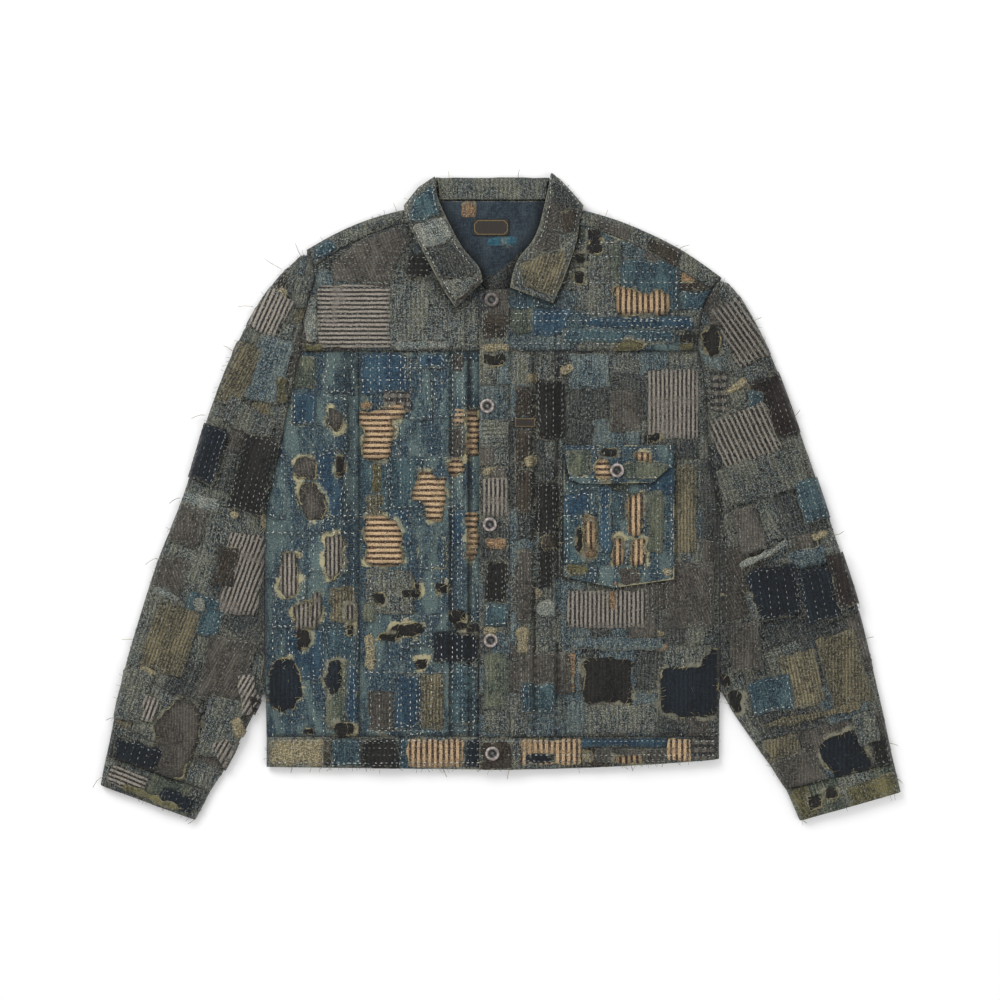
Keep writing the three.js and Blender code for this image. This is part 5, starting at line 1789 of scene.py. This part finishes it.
FIELD_ROWS = {
    "front_side_panel_right": [
        ("white", upright_lines((-262, -252, -240, -228, -216, -204, -192, -180, -169), -270, 168),
         9, 0.1),
        ("white", level_lines((-38, -146), -270, -165), 7, 0.1)],
    "front_panel_right": [
        ("white", upright_lines((-150, -140, -128, -115, -104, -93, -80, -68, -50, -32), -270,
                                169), 7.4, 0.08),
        ("white", upright_lines((-56, -45), -262, 169), 5.6, 0.05),
        ("white", level_lines((152, 138, -198, -265, -90), -160, -28), 7, 0.1)],
    "front_panel_left": [
        ("grey", upright_lines(np.arange(84, 246, 8.2), -270, 169), 7.2, 0.1),
        ("grey", upright_lines((16, 24, 32, 43, 52, 60, 70, 78), -270, 169), 6.4, 0.08),
        ("white", upright_lines((210, 220, 230, 238), -250, -172), 6.5, 0.0)],
    "front_yoke_right": [
        ("grey", level_lines(np.arange(178, 320, 7.2), -226, 4), 6.8, 0.1)],
    "front_yoke_left": [
        ("white", level_lines((180, 206, 214, 250, 262, 280, 296), 12, 222), 6.4, 0.1),
        ("grey", upright_lines((16, 26, 36, 48, 60, 74, 90, 104, 112, 120, 128, 150, 172), 174,
                               300), 6.8, 0.1)],
    "buttonhole_band": [("grey", upright_lines((-22, 7), -270, 238), 6.2, 0.06),
                        ("grey", upright_lines((-16, -6, 1), -270, 238), 6.6, 0.2)],
    "waistband_front_right": [("white", level_lines((-277, -302), -266, 2), 6.2, 0.06),
                              ("grey", level_lines((-285, -293), -266, 2), 6.2, 0.1)],
    "waistband_front_left": [("white", level_lines((-277, -293), -22, 248), 6.2, 0.06),
                             ("grey", level_lines((-285, -300), -22, 248), 6.2, 0.1)],
    "pocket": [("white", upright_lines((76, 120, 145, 165, 180, 195), -86, 24), 6.4, 0.08),
               ("white", level_lines((-84,), 74, 196), 6.2, 0.05)],
    "pocket_flap": [("white", level_lines((59, 26), 74, 195), 6.0, 0.05),
                    ("grey", level_lines((50, 40), 74, 195), 6.4, 0.15)],
    "back_yoke": [],
}
for side in ("right", "left"):
    FIELD_ROWS[f"sleeve_{side}"] = [
        ("grey", sleeve_rows(side, np.arange(0.05, 0.98, 0.066)), 7.0, 0.1)]
    FIELD_ROWS[f"cuff_{side}"] = [
        ("grey", sleeve_rows(f"cuff_{side}", np.arange(0.04, 0.98, 0.07)), 6.0, 0.1)]
BACK_ROWS = {
    "back_panel": [("white", upright_lines(np.arange(-262, 250, 17.0), -268, 178), 9, 0.1)],
    "back_yoke": [("grey", level_lines(np.arange(188, 330, 15.0), -222, 236), 9, 0.1)],
    "waistband_back": [("white", level_lines((-278, -302), -266, 248), 8, 0.06)],
    "sleeve_right": [("grey", sleeve_rows("right", np.arange(0.08, 0.95, 0.16)), 9, 0.1)],
    "sleeve_left": [("grey", sleeve_rows("left", np.arange(0.08, 0.95, 0.16)), 9, 0.1)],
}


def bricks(width, height, across, along, seed):
    """Uneven bricks over a field of the given size, as corners in shares of it."""
    rng = np.random.default_rng(seed)
    made = []
    y = 0.0
    while y < height:
        tall = along * rng.uniform(0.65, 1.35)
        x = -across * rng.uniform(0, 1)
        while x < width:
            wide = across * rng.uniform(0.6, 1.4)
            corners = [(x, y), (x + wide, y), (x + wide, y + tall), (x, y + tall)]
            made.append([((a + rng.uniform(-2, 2)) / width, (b + rng.uniform(-2, 2)) / height)
                         for a, b in corners])
            x += wide
        y += tall
    rng.shuffle(made)
    return made


def quilt(name, host, across, along, choice, turn, seed, cover=0.8):
    """Blocks of darned cloth that cover a piece before its charted patches."""
    rng = np.random.default_rng(seed)
    low, high = host.min(axis=0), host.max(axis=0)
    rows = []
    if name.startswith(("sleeve", "cuff")):
        inner_line, outer_line = sleeve_lines[name.removeprefix("sleeve_")]
        length = 600 if name.startswith("sleeve") else 34
        for corners in bricks(118, length, across, along, seed):
            if rng.uniform() < cover:
                s, v = (np.array(q) for q in zip(*corners))
                s = np.clip(s, -0.02, 1.02)[:, None]
                shape = inner_line(v) * (1 - s) + outer_line(v) * s
                if np.ptp(s) > 0.05:
                    rows.append((choice[rng.integers(len(choice))], "block",
                                 turn + rng.uniform(-6, 6), [tuple(q) for q in shape]))
        return rows
    for corners in bricks(*(high - low), across, along, seed):
        if rng.uniform() < cover:
            shape = [tuple(low + (high - low) * np.array(q)) for q in corners]
            rows.append((choice[rng.integers(len(choice))], "block",
                         turn + rng.uniform(-3, 3), shape))
    return rows


# Each piece's blocks: size across and along, cloths, turn of the weave, share covered
QUILTS = {
    "front_panel_left": (30, 44, ["slate", "coal", "mist", "taupe", "slate", "coal", "mist"], 0,
                         0.85),
    "front_yoke_right": (36, 28, ["slate", "coal", "mist", "slate", "taupe"], 0, 0.8),
    "front_yoke_left": (30, 28, ["mist", "teal", "slate", "blue", "coal", "moss"], 0, 0.85),
    "buttonhole_band": (33, 34, ["slate", "coal", "taupe", "mist"], 0, 0.8),
    "front_side_panel_right": (38, 60, ["indigo", "indigo", "teal", "indigo", "blue"], 0, 0.5),
    "front_panel_right": (34, 60, ["indigo", "blue", "indigo", "teal", "indigo"], 0, 0.5),
    "waistband_front_right": (40, 34, ["slate", "moss", "teal"], 0, 0.6),
    "waistband_front_left": (40, 34, ["slate", "mist", "umber"], 0, 0.6),
    "pocket": (30, 34, ["indigo", "blue", "teal", "moss"], 0, 0.7),
    "pocket_flap": (30, 40, ["indigo", "moss", "teal"], 0, 0.7),
    "sleeve_right": (46, 40, ["slate", "coal", "mist", "taupe", "slate", "khaki", "coal"], -20,
                     0.85),
    "sleeve_left": (46, 40, ["slate", "coal", "mist", "taupe", "slate", "coal", "coal"], 20,
                    0.85),
    "cuff_right": (34, 34, ["slate", "moss", "coal"], -20, 0.8),
    "cuff_left": (34, 34, ["moss", "slate", "olive"], 20, 0.8),
    "collar_leaf_right": (34, 30, ["slate", "coal", "taupe"], 60, 0.6),
    "collar_leaf_left": (34, 30, ["slate", "coal", "taupe"], -60, 0.6),
}
BACK_QUILTS = {
    "back_panel": (70, 80, ["slate", "indigo", "mist", "coal", "teal"], 0, 0.7),
    "back_yoke": (60, 50, ["slate", "mist", "coal"], 0, 0.7),
    "sleeve_right": (60, 70, ["slate", "coal", "mist", "taupe"], -20, 0.7),
    "sleeve_left": (60, 70, ["slate", "coal", "mist", "khaki"], 20, 0.7),
}


def sew_piece(chart, rows, surface, host, seed, thin=False):
    work = Work()
    for k, (cloth, kind, turn, shape) in enumerate(chart):
        sew(work, surface, host, cloth, kind, turn, shape, seed + 10 * k, thin)
    for k, (yarn_name, lines, pitch, skip) in enumerate(rows):
        rows_of_stitches(work, surface, host, lines, yarn_name, seed + 500 + k, pitch, skip)
    return work


def joined(objects, name):
    """Several meshes as one, each part with its own yarn."""
    first = objects[0]
    if len(objects) > 1:
        with bpy.context.temp_override(active_object=first, object=first,
                                       selected_objects=objects,
                                       selected_editable_objects=objects):
            bpy.ops.object.join()
    first.name = first.data.name = name
    return first


def make_work(work, label):
    """The joined objects of what is sewn on one piece."""
    made = []
    if work.faces:
        flat = np.concatenate(work.verts)[:, :2]
        over_holes = work.rubbed(flat, np.concatenate(work.lifts))
        work.worn = [np.maximum(np.concatenate(work.worn), over_holes)]
        if not label.endswith("_under"):
            # painted shade of the crevices, and the painted shade inside holes where that is darker
            edge_shade, folds = np.concatenate(work.shade), painted_crevice_shade(label, flat)
            work.shade = [np.where(edge_shade > 0, np.maximum(edge_shade, folds), folds)]
        made.append(build(label + "_patches", np.concatenate(work.verts), work.faces,
                          np.concatenate(work.weave), shade=np.concatenate(work.shade),
                          tint=np.concatenate(work.tint), worn=np.concatenate(work.worn),
                          materials=[cloths[c] for c in work.cloths], which=work.which))
    threads = [laid(yarn_name, groups, tree, yarns[yarn_name])
               for tree, kinds in ((stitch_tree, work.stitches), (fray_tree, work.frays))
               for yarn_name, groups in kinds.items() if groups]
    if threads:
        made.append(joined(threads, label + "_threads"))
    return made


def near_face(piece, across=(0, 1)):
    """A surface over the pattern for a piece that only has a face: heights from near points."""
    u, v = np.meshgrid(evenly(30, *across), evenly(60))
    at, _ = piece.face(u.ravel(), v.ravel())

    def surface(p):
        z = np.empty(len(p))
        for k, q in enumerate(p):
            d = np.hypot(at[:, 0] - q[0], at[:, 1] - q[1])
            near = np.argpartition(d, 6)[:6]
            weight = 1 / (d[near] + 0.05) ** 2
            z[k] = np.sum(at[near, 2] * weight) / np.sum(weight)
        return upright(p, z)
    return surface


def quilted(table, name, host, seed):
    if name not in table:
        return []
    across, along, choice, turn, cover = table[name]
    return quilt(name, host, across, along, choice, turn, seed, cover)


LEAF_ROWS = {
    "collar_leaf_right": ("grey", [[(-108 + 10 * k, 332 - 2 * k), (-62 + 9.2 * k, 232 + 4 * k)]
                                   for k in range(4)], 6.4, 0.08),
    "collar_leaf_left": ("grey", [[(90 - 8 * k, 332 + 2 * k), (64 - 10 * k, 234 + 6 * k)]
                                  for k in range(4)], 6.4, 0.08),
}
sewn, works = {}, {}
for number, name in enumerate(GROUND):
    piece = pieces[name]
    made = []
    if name in LEAF_ROWS:
        host = piece.outline((0.04, 0.93))
        t = evenly(30, 0.03, 0.97)
        edges = [piece.face(np.full(31, u), t)[0][:, :2] for u in (0.1, 0.86)]
        work = sew_piece(quilted(QUILTS, name, host, 300 + number) + CHART[name],
                         [LEAF_ROWS[name], ("white", edges, 5.6, 0.04)],
                         near_face(piece), host, 1000 * (number + 1))
        works[name] = work
        made += make_work(work, name)
    elif name == "collar_back":
        work, rng = Work(), np.random.default_rng(17)
        for v in (0.035, 0.12, 0.2, 0.3, 0.62, 0.7, 0.8, 0.9, 0.97):
            u = np.arange(0.03, 0.97, 0.046) + rng.uniform(-0.004, 0.004, 21)
            at, lean = piece.face(u, np.full(len(u), v))
            work.stitches["grey"].append((at + lean * 0.15, np.tile([1.0, 0, 0], (len(u), 1)),
                                          lean, rng.uniform(0.8, 1.2, len(u))))
        made += make_work(work, name)
    elif piece.surface and (name in CHART or name in FIELD_ROWS):
        host = piece.outline(HOST_ARCS.get(name, (0, 1)))
        surface = piece.surface
        if name == "back_yoke":
            top = np.concatenate([seam_right(evenly(20)), shoulder_right(evenly(20))[::-1]])
            other = np.concatenate([seam_left(evenly(20)), shoulder_left(evenly(20))[::-1]])
            for half, (host, sign) in enumerate(((top, -1), (other, 1))):
                rows = [r for r in CHART[name] if np.sign(np.mean([q[0] for q in r[3]])) == sign]
                work = sew_piece(rows, [], surface, host, 9000 + half)
                made += make_work(work, f"{name}_over_{half}")
        else:
            thin = name == "neck_lining"
            chart = quilted(QUILTS, name, host, 300 + number) + CHART.get(name, [])
            work = sew_piece(chart, FIELD_ROWS.get(name, []), surface, host,
                             1000 * (number + 1), thin)
            works[name] = work
            made += make_work(work, name)
    if name in BACK_CHART:
        if name.startswith("sleeve"):
            host, surface = piece.outline((0.012, 0.488)), under(SLEEVE_EDGES)
        elif name == "back_yoke":
            u, one = evenly(60), np.ones(61)
            low_edge = back_yoke_plan(u, 0 * u)
            top_edge = back_yoke_plan(u, 0.99 * one)
            host = np.concatenate([low_edge, top_edge[::-1]])
            surface = under(BODY_EDGES)
        else:
            host, surface = piece.outline(), under(BODY_EDGES)
        chart = quilted(BACK_QUILTS, name, host, 700 + number) + BACK_CHART[name]
        work = sew_piece(chart, BACK_ROWS[name], surface, host,
                         1000 * (number + 1) + 77, thin=True)
        made += make_work(work, name + "_under")
    sewn[name] = made

grounds = {}
for name in GROUND:
    piece = pieces[name]
    u, v = (g.ravel() for g in np.meshgrid(piece.us, piece.vs))
    at, lean = piece.face(u, v)
    verts, faces = closed_grid(at, at - lean * piece.thickness, len(piece.us), len(piece.vs))
    weave = at[:, :2].copy()
    weave[:, 1] -= at[:, 2] * 0.5
    # painted shade, with painted light on crease crests, for the ground cloth
    shade, worn = painted_crevice_shade(name, at[:, :2]), np.zeros(len(at))
    if name == "collar_back":
        weave = np.stack([at[:, 0], v * 110], -1)
    if name.startswith(("sleeve", "cuff")):  # the weave follows the sleeve
        inner_line, outer_line = sleeve_lines[name.removeprefix("sleeve_")]
        across = np.linalg.norm(outer_line(v) - inner_line(v), axis=1)
        weave = np.stack([(u - 0.25) * 2 * np.maximum(across, 60),
                          v * (640 if name.startswith("sleeve") else 34)], -1)
    if name in works:
        front = lean[:, 2] > -0.3
        worn[front] = works[name].rubbed(at[front, :2], np.zeros(front.sum()))
    edge_worn = (0.1 if name == "back_yoke" else 0.4) + 0.4 * noise(
        weave[:, 0], weave[:, 1], 15, 55)
    rim_share = np.minimum(v, 1 - v) * len(piece.vs)
    if name.startswith(("collar", "pocket")):
        rim_share = np.minimum(rim_share, np.minimum(u, 1 - u) * len(piece.us))
        edge_worn = edge_worn + 0.3
    worn = np.maximum(worn, edge_worn * (rim_share < 0.9))
    for line, _ in FLANKS:  # an edge that lies against its neighbour is not rubbed
        worn = worn * (1 - falloff(near_line(at[:, :2], line), 8.0))
    grounds[name] = build(name + "_cloth", verts, faces.tolist(), np.tile(weave, (2, 1)),
                          shade=np.tile(shade, 2), worn=np.tile(worn, 2),
                          materials=[cloths[GROUND[name][0]]])

# Label and tag: woven satin with a plain gold border and nothing written


def satin(name, x0, x1, y0, y1, clip, line):
    """Black satin with a border line, its corners clipped. Sizes in mm of the pattern."""
    material, tree = start(name)
    place = add(tree, "ShaderNodeUVMap", uv_map="weave").outputs[0]
    uv = add(tree, "ShaderNodeSeparateXYZ", {0: place})
    half_x, half_y = (x1 - x0) / 2, (y1 - y0) / 2
    dx = calc(tree, "ABSOLUTE", calc(tree, "SUBTRACT", uv.outputs[0], (x0 + x1) / 2))
    dy = calc(tree, "ABSOLUTE", calc(tree, "SUBTRACT", uv.outputs[1], (y0 + y1) / 2))
    gap_x = calc(tree, "SUBTRACT", half_x - 1.6, dx)
    gap_y = calc(tree, "SUBTRACT", half_y - 1.6, dy)
    corner = calc(tree, "SUBTRACT", half_x + half_y - 3.2 - clip, calc(tree, "ADD", dx, dy))
    gap = calc(tree, "MINIMUM", calc(tree, "MINIMUM", gap_x, gap_y),
               calc(tree, "MULTIPLY", corner, 0.707))
    border = ramp(tree, calc(tree, "ABSOLUTE", gap), line, line + 0.35, 1.0, 0.0)
    grain = add(tree, "ShaderNodeTexNoise", {
        "Vector": add(tree, "ShaderNodeMapping", {
            "Vector": place, "Scale": (0.6, 2.2, 1)}).outputs[0], "Scale": 1.0,
        "Detail": 2.0}).outputs[0]
    ground = blend_colours(tree, ramp(tree, grain, 0.35, 0.65), linear("#17130f"),
                           linear("#2e2721"))
    gold = blend_colours(tree, ramp(tree, grain, 0.35, 0.65), linear("#463a22"),
                         linear("#7d6a41"))
    finish_material(tree, blend_colours(tree, border, ground, gold), grain, depth=0.25,
                    roughness=0.6, sheen=0.05, specular=0.35)
    return material


label_satin = satin("black satin label", -32, 9, 304, 323, 4.0, 0.3)
tag_satin = satin("black satin tag", 15, 40, 83, 95, 0.0, 0.25)
labels = {}
for name, material in (("neck_label", label_satin), ("chest_tag", tag_satin)):
    piece = pieces[name]
    u, v = np.meshgrid(piece.us, piece.vs)
    at, lean = piece.face(u.ravel(), v.ravel())
    curl = 0.5 * (np.abs(2 * u.ravel() - 1) ** 3) * noise(at[:, 0], at[:, 1], 9, 12)
    at = at + lean * curl[:, None]
    verts, faces = closed_grid(at, at - lean * LABEL, len(piece.us), len(piece.vs))
    labels[name] = build(name + "_satin", verts, faces.tolist(), np.tile(at[:, :2], (2, 1)),
                         materials=[material])

# Buttons: pale horn worn grey at the rim, with a dark sunk middle and thread through it


def horn():
    """Polished horn: cloudy, a little translucent to the eye, darker towards the middle."""
    material, tree = start("polished grey horn")
    place = add(tree, "ShaderNodeTexCoord").outputs["Object"]
    cloud = add(tree, "ShaderNodeTexNoise", {
        "Vector": place, "Scale": 1 / (3 * MM), "Detail": 3.0}).outputs[0]
    shade = add(tree, "ShaderNodeAttribute", attribute_name="shade").outputs["Fac"]
    pale = blend_colours(tree, ramp(tree, cloud, 0.35, 0.65), linear("#7b716c"),
                         linear("#bdb3ad"))
    colour = blend_colours(tree, shade, pale, linear("#1d1a19"))
    finish_material(tree, colour, cloud, bump=0.3, depth=0.15, roughness=0.32, sheen=0.0,
                    specular=0.5)
    return material


horn_material = horn()
BUTTON_PROFILE = [(0.0, 1.5), (1.6, 1.45), (3.0, 1.7), (3.9, 2.7), (5.2, 3.7), (6.4, 4.0),
                  (7.5, 3.6), (8.2, 2.6), (8.0, 1.6), (7.0, 0.7), (3.0, 0.0), (0.0, 0.0)]


def button(name, x, y, z, seed, dirt_and_shadow=0.0):
    """A turned button with a sunk middle; the last argument is how far its pale rim is darkened: a little
    for dirt, and painted shadow for the neck button under the collar.
    """
    rng = np.random.default_rng(seed)
    tilt = rng.uniform(-0.05, 0.05, 2)
    sides = 40
    verts, faces, shade = [], [], []
    rows = BUTTON_PROFILE[1:-1]
    verts.append((x, y, z + BUTTON_PROFILE[0][1]))
    shade.append(1.0)
    for r, h in rows:
        for k in range(sides):
            a = 2 * math.pi * k / sides
            px, py = r * math.cos(a), r * math.sin(a)
            verts.append((x + px, y + py, z + h + tilt[0] * px + tilt[1] * py))
            shade.append(max(dirt_and_shadow, 1.0 if r < 4.5 and h > 1 else 0.7 if 4.5 < r < 6 else
                             0.3 if r > 7.9 else 0.0))
    verts.append((x, y, z))
    shade.append(0.5)
    last = len(verts) - 1
    for k in range(sides):
        n = (k + 1) % sides
        faces.append((0, 1 + k, 1 + n))
        faces.append((last, 1 + (len(rows) - 1) * sides + n, 1 + (len(rows) - 1) * sides + k))
        for j in range(len(rows) - 1):
            a, b = 1 + j * sides, 1 + (j + 1) * sides
            faces.append((a + k, b + k, b + n, a + n))
    return build(name + "_horn", np.array(verts), faces, np.array(verts)[:, :2], shade=shade,
                 materials=[horn_material])


buttons = {}
band_buttons = {"neck": (-11, 230), "chest": (-16, 108), "waist": (-13, -28), "low": (-12, -161)}
for k, (name, low_high) in enumerate(
        (n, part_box("button_" + n)) for n in ("neck", "chest", "waist", "low", "hem", "pocket")):
    low, high = low_high
    middle = (low + high) / 2
    spot = np.array([[middle.x / MM - SHIFT[0], middle.y / MM - SHIFT[1]]])
    if name in band_buttons:
        top = band_top(spot)[0]
    elif name == "hem":
        top = flat_top(spot)[0] + OVERLAP_RISE
    else:
        top = flap_top(spot)[0]
    foot = max(low.z / MM, top + 0.5)
    # the neck button, under the collar, is darkened as painted shadow; the others a little for dirt
    buttons[name] = button("button_" + name, spot[0, 0], spot[0, 1], foot, 40 + k,
                           0.66 if name == "neck" else 0.12)
    # The thread that holds the button: four short straws over its middle
    straws = []
    for a in (0.4, 1.97):
        c, s = math.cos(a), math.sin(a)
        for shift in (-0.45, 0.45):
            x, y = spot[0, 0] - s * shift, spot[0, 1] + c * shift
            straws.append([(x + c * t, y + s * t, foot + 1.6 + 0.7 * (1 - (t / 2.2) ** 2))
                           for t in (-2.2, -1.1, 0, 1.1, 2.2)])
    sewn.setdefault("buttons", []).append(
        thread(f"button_{name}_thread", straws, 0.35, yarns["grey"]))
    if name == "pocket":
        continue
    # The buttonhole's end shows beside the button: whipped over with black twist
    run = np.arange(7.0, 19.0, 0.55)
    x, y = spot[0, 0] + run, spot[0, 1] + 0.06 * run + np.where(np.arange(len(run)) % 2, 1.1, -1.1)
    z = (band_top if name in band_buttons else flat_top)(np.stack([x, y], -1))
    z = z + 0.35 + (OVERLAP_RISE if name == "hem" else 0.0)
    sewn["buttons"].append(thread(f"button_{name}_buttonhole", [list(zip(x, y, z))], 0.42,
                                  yarns["black"]))

# Loose threads that stand out from the edges

LOOSE = [(-255, 267, 150, 20), (-288, 223, 165, 16), (-343, 98, 170, 15), (-398, -67, 175, 14),
         (-462, -320, 200, 14), (-232, 283, 130, 14), (-310, 172, 150, 12), (-372, 2, 185, 12),
         (-425, -160, 170, 12), (-446, -250, 185, 10), (290, 206, 40, 11), (338, 96, 20, 10),
         (386, -40, 10, 10), (421, -160, 5, 9), (448, -280, -10, 10), (-120, 333, 110, 10),
         (120, 326, 70, 9), (206, 290, 50, 12), (-274, 60, 200, 9), (-60, 371, 80, 8),
         (20, 372, 95, 9), (-67, -308, 265, 12), (150, -303, 275, 10), (-240, -306, 255, 9),
         (10, -310, 262, 12), (-351, -366, 250, 12), (346, -366, 300, 9), (456, -320, 0, 9)]
rng = np.random.default_rng(91)
paths = []
for x, y, angle, length in LOOSE:
    a = math.radians(angle)
    bend = rng.uniform(-0.09, 0.09)
    p = np.array([x - 3 * math.cos(a), y - 3 * math.sin(a), 6.0 + rng.uniform(-1, 2)])
    path = [p]
    for k in range(9):
        a += bend + rng.uniform(-0.12, 0.12)
        step = (length + 3) / 9
        drop = -0.25 if p[2] > 1.2 else 0.0
        p = p + np.array([math.cos(a) * step, math.sin(a) * step, drop])
        path.append(p)
    paths.append(path)
loose_threads = thread("loose_threads", paths, 0.32, yarns["fray"])

# Each made mesh hangs from the root, and the imported part it takes the place of is hidden

for name, (cloth, slot, (width, length, area)) in GROUND.items():
    obj = grounds[name]
    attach(obj, "root")
    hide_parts(name)
    for piece in sewn[name]:
        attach(piece, "root")
for name, obj in labels.items():
    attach(obj, "root")
    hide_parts(name)
for name, obj in buttons.items():
    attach(obj, "root")
    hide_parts("button_" + name)
for piece in sewn["buttons"]:
    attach(piece, "root")
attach(loose_threads, "root")
for name, (cloth, slot, (width, length, area)) in GROUND.items():
    ("folded" if "sleeve" in name
             or "cuff" in name or name in ("collar_back", "back_yoke") else "laid")

# Floor, light and camera

low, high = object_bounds()
floor_mesh = bpy.data.meshes.new("floor")
floor_mesh.from_pydata([(-4, -4, 0), (4, -4, 0), (4, 4, 0), (-4, 4, 0)], [], [(0, 1, 2, 3)])
for v in floor_mesh.vertices:
    v.co.z = min(low.z, 0.0) - 0.0002
floor = bpy.data.objects.new("floor", floor_mesh)
bpy.context.scene.collection.objects.link(floor)
paper, paper_tree = start("white paper")
grain = add(paper_tree, "ShaderNodeTexNoise", {
    "Vector": add(paper_tree, "ShaderNodeTexCoord").outputs["Object"], "Scale": 3.0})
finish_material(paper_tree, ramp(paper_tree, grain.outputs[0], 0.3, 0.7, 0.93, 0.95), None,
                roughness=0.9, sheen=0.0, specular=0.1)
floor_mesh.materials.append(paper)

world = bpy.data.worlds.new("soft studio")
world.use_nodes = True
world.node_tree.nodes["Background"].inputs["Color"].default_value = (1, 1, 1, 1)
world.node_tree.nodes["Background"].inputs["Strength"].default_value = 0.62
bpy.context.scene.world = world
for name, place, size, power in (("softbox over the left shoulder", (-1.3, 1.5, 1.9), 1.4, 42),
                                 ("broad fill", (1.4, -1.0, 2.4), 2.4, 24)):
    lamp = bpy.data.lights.new(name, "AREA")
    lamp.shape, lamp.size, lamp.energy = "SQUARE", size, power
    light = bpy.data.objects.new(name, lamp)
    light.location = place
    light.rotation_euler = (-Vector(place)).to_track_quat("-Z", "Y").to_euler()
    bpy.context.scene.collection.objects.link(light)

FRAME_WIDTH = 1.15  # metres across the picture at the height of the cloth
camera_data = bpy.data.cameras.new("camera")
camera_data.lens, camera_data.sensor_width = 100, 36
camera = bpy.data.objects.new("camera", camera_data)
camera.location = (-0.0012 + SHIFT[0] * MM, SHIFT[1] * MM,
                   0.009 + FRAME_WIDTH * camera_data.lens / camera_data.sensor_width)
bpy.context.scene.collection.objects.link(camera)
bpy.context.scene.camera = camera
bpy.context.scene.view_settings.view_transform = "Standard"
bpy.context.scene.view_settings.look = "None"
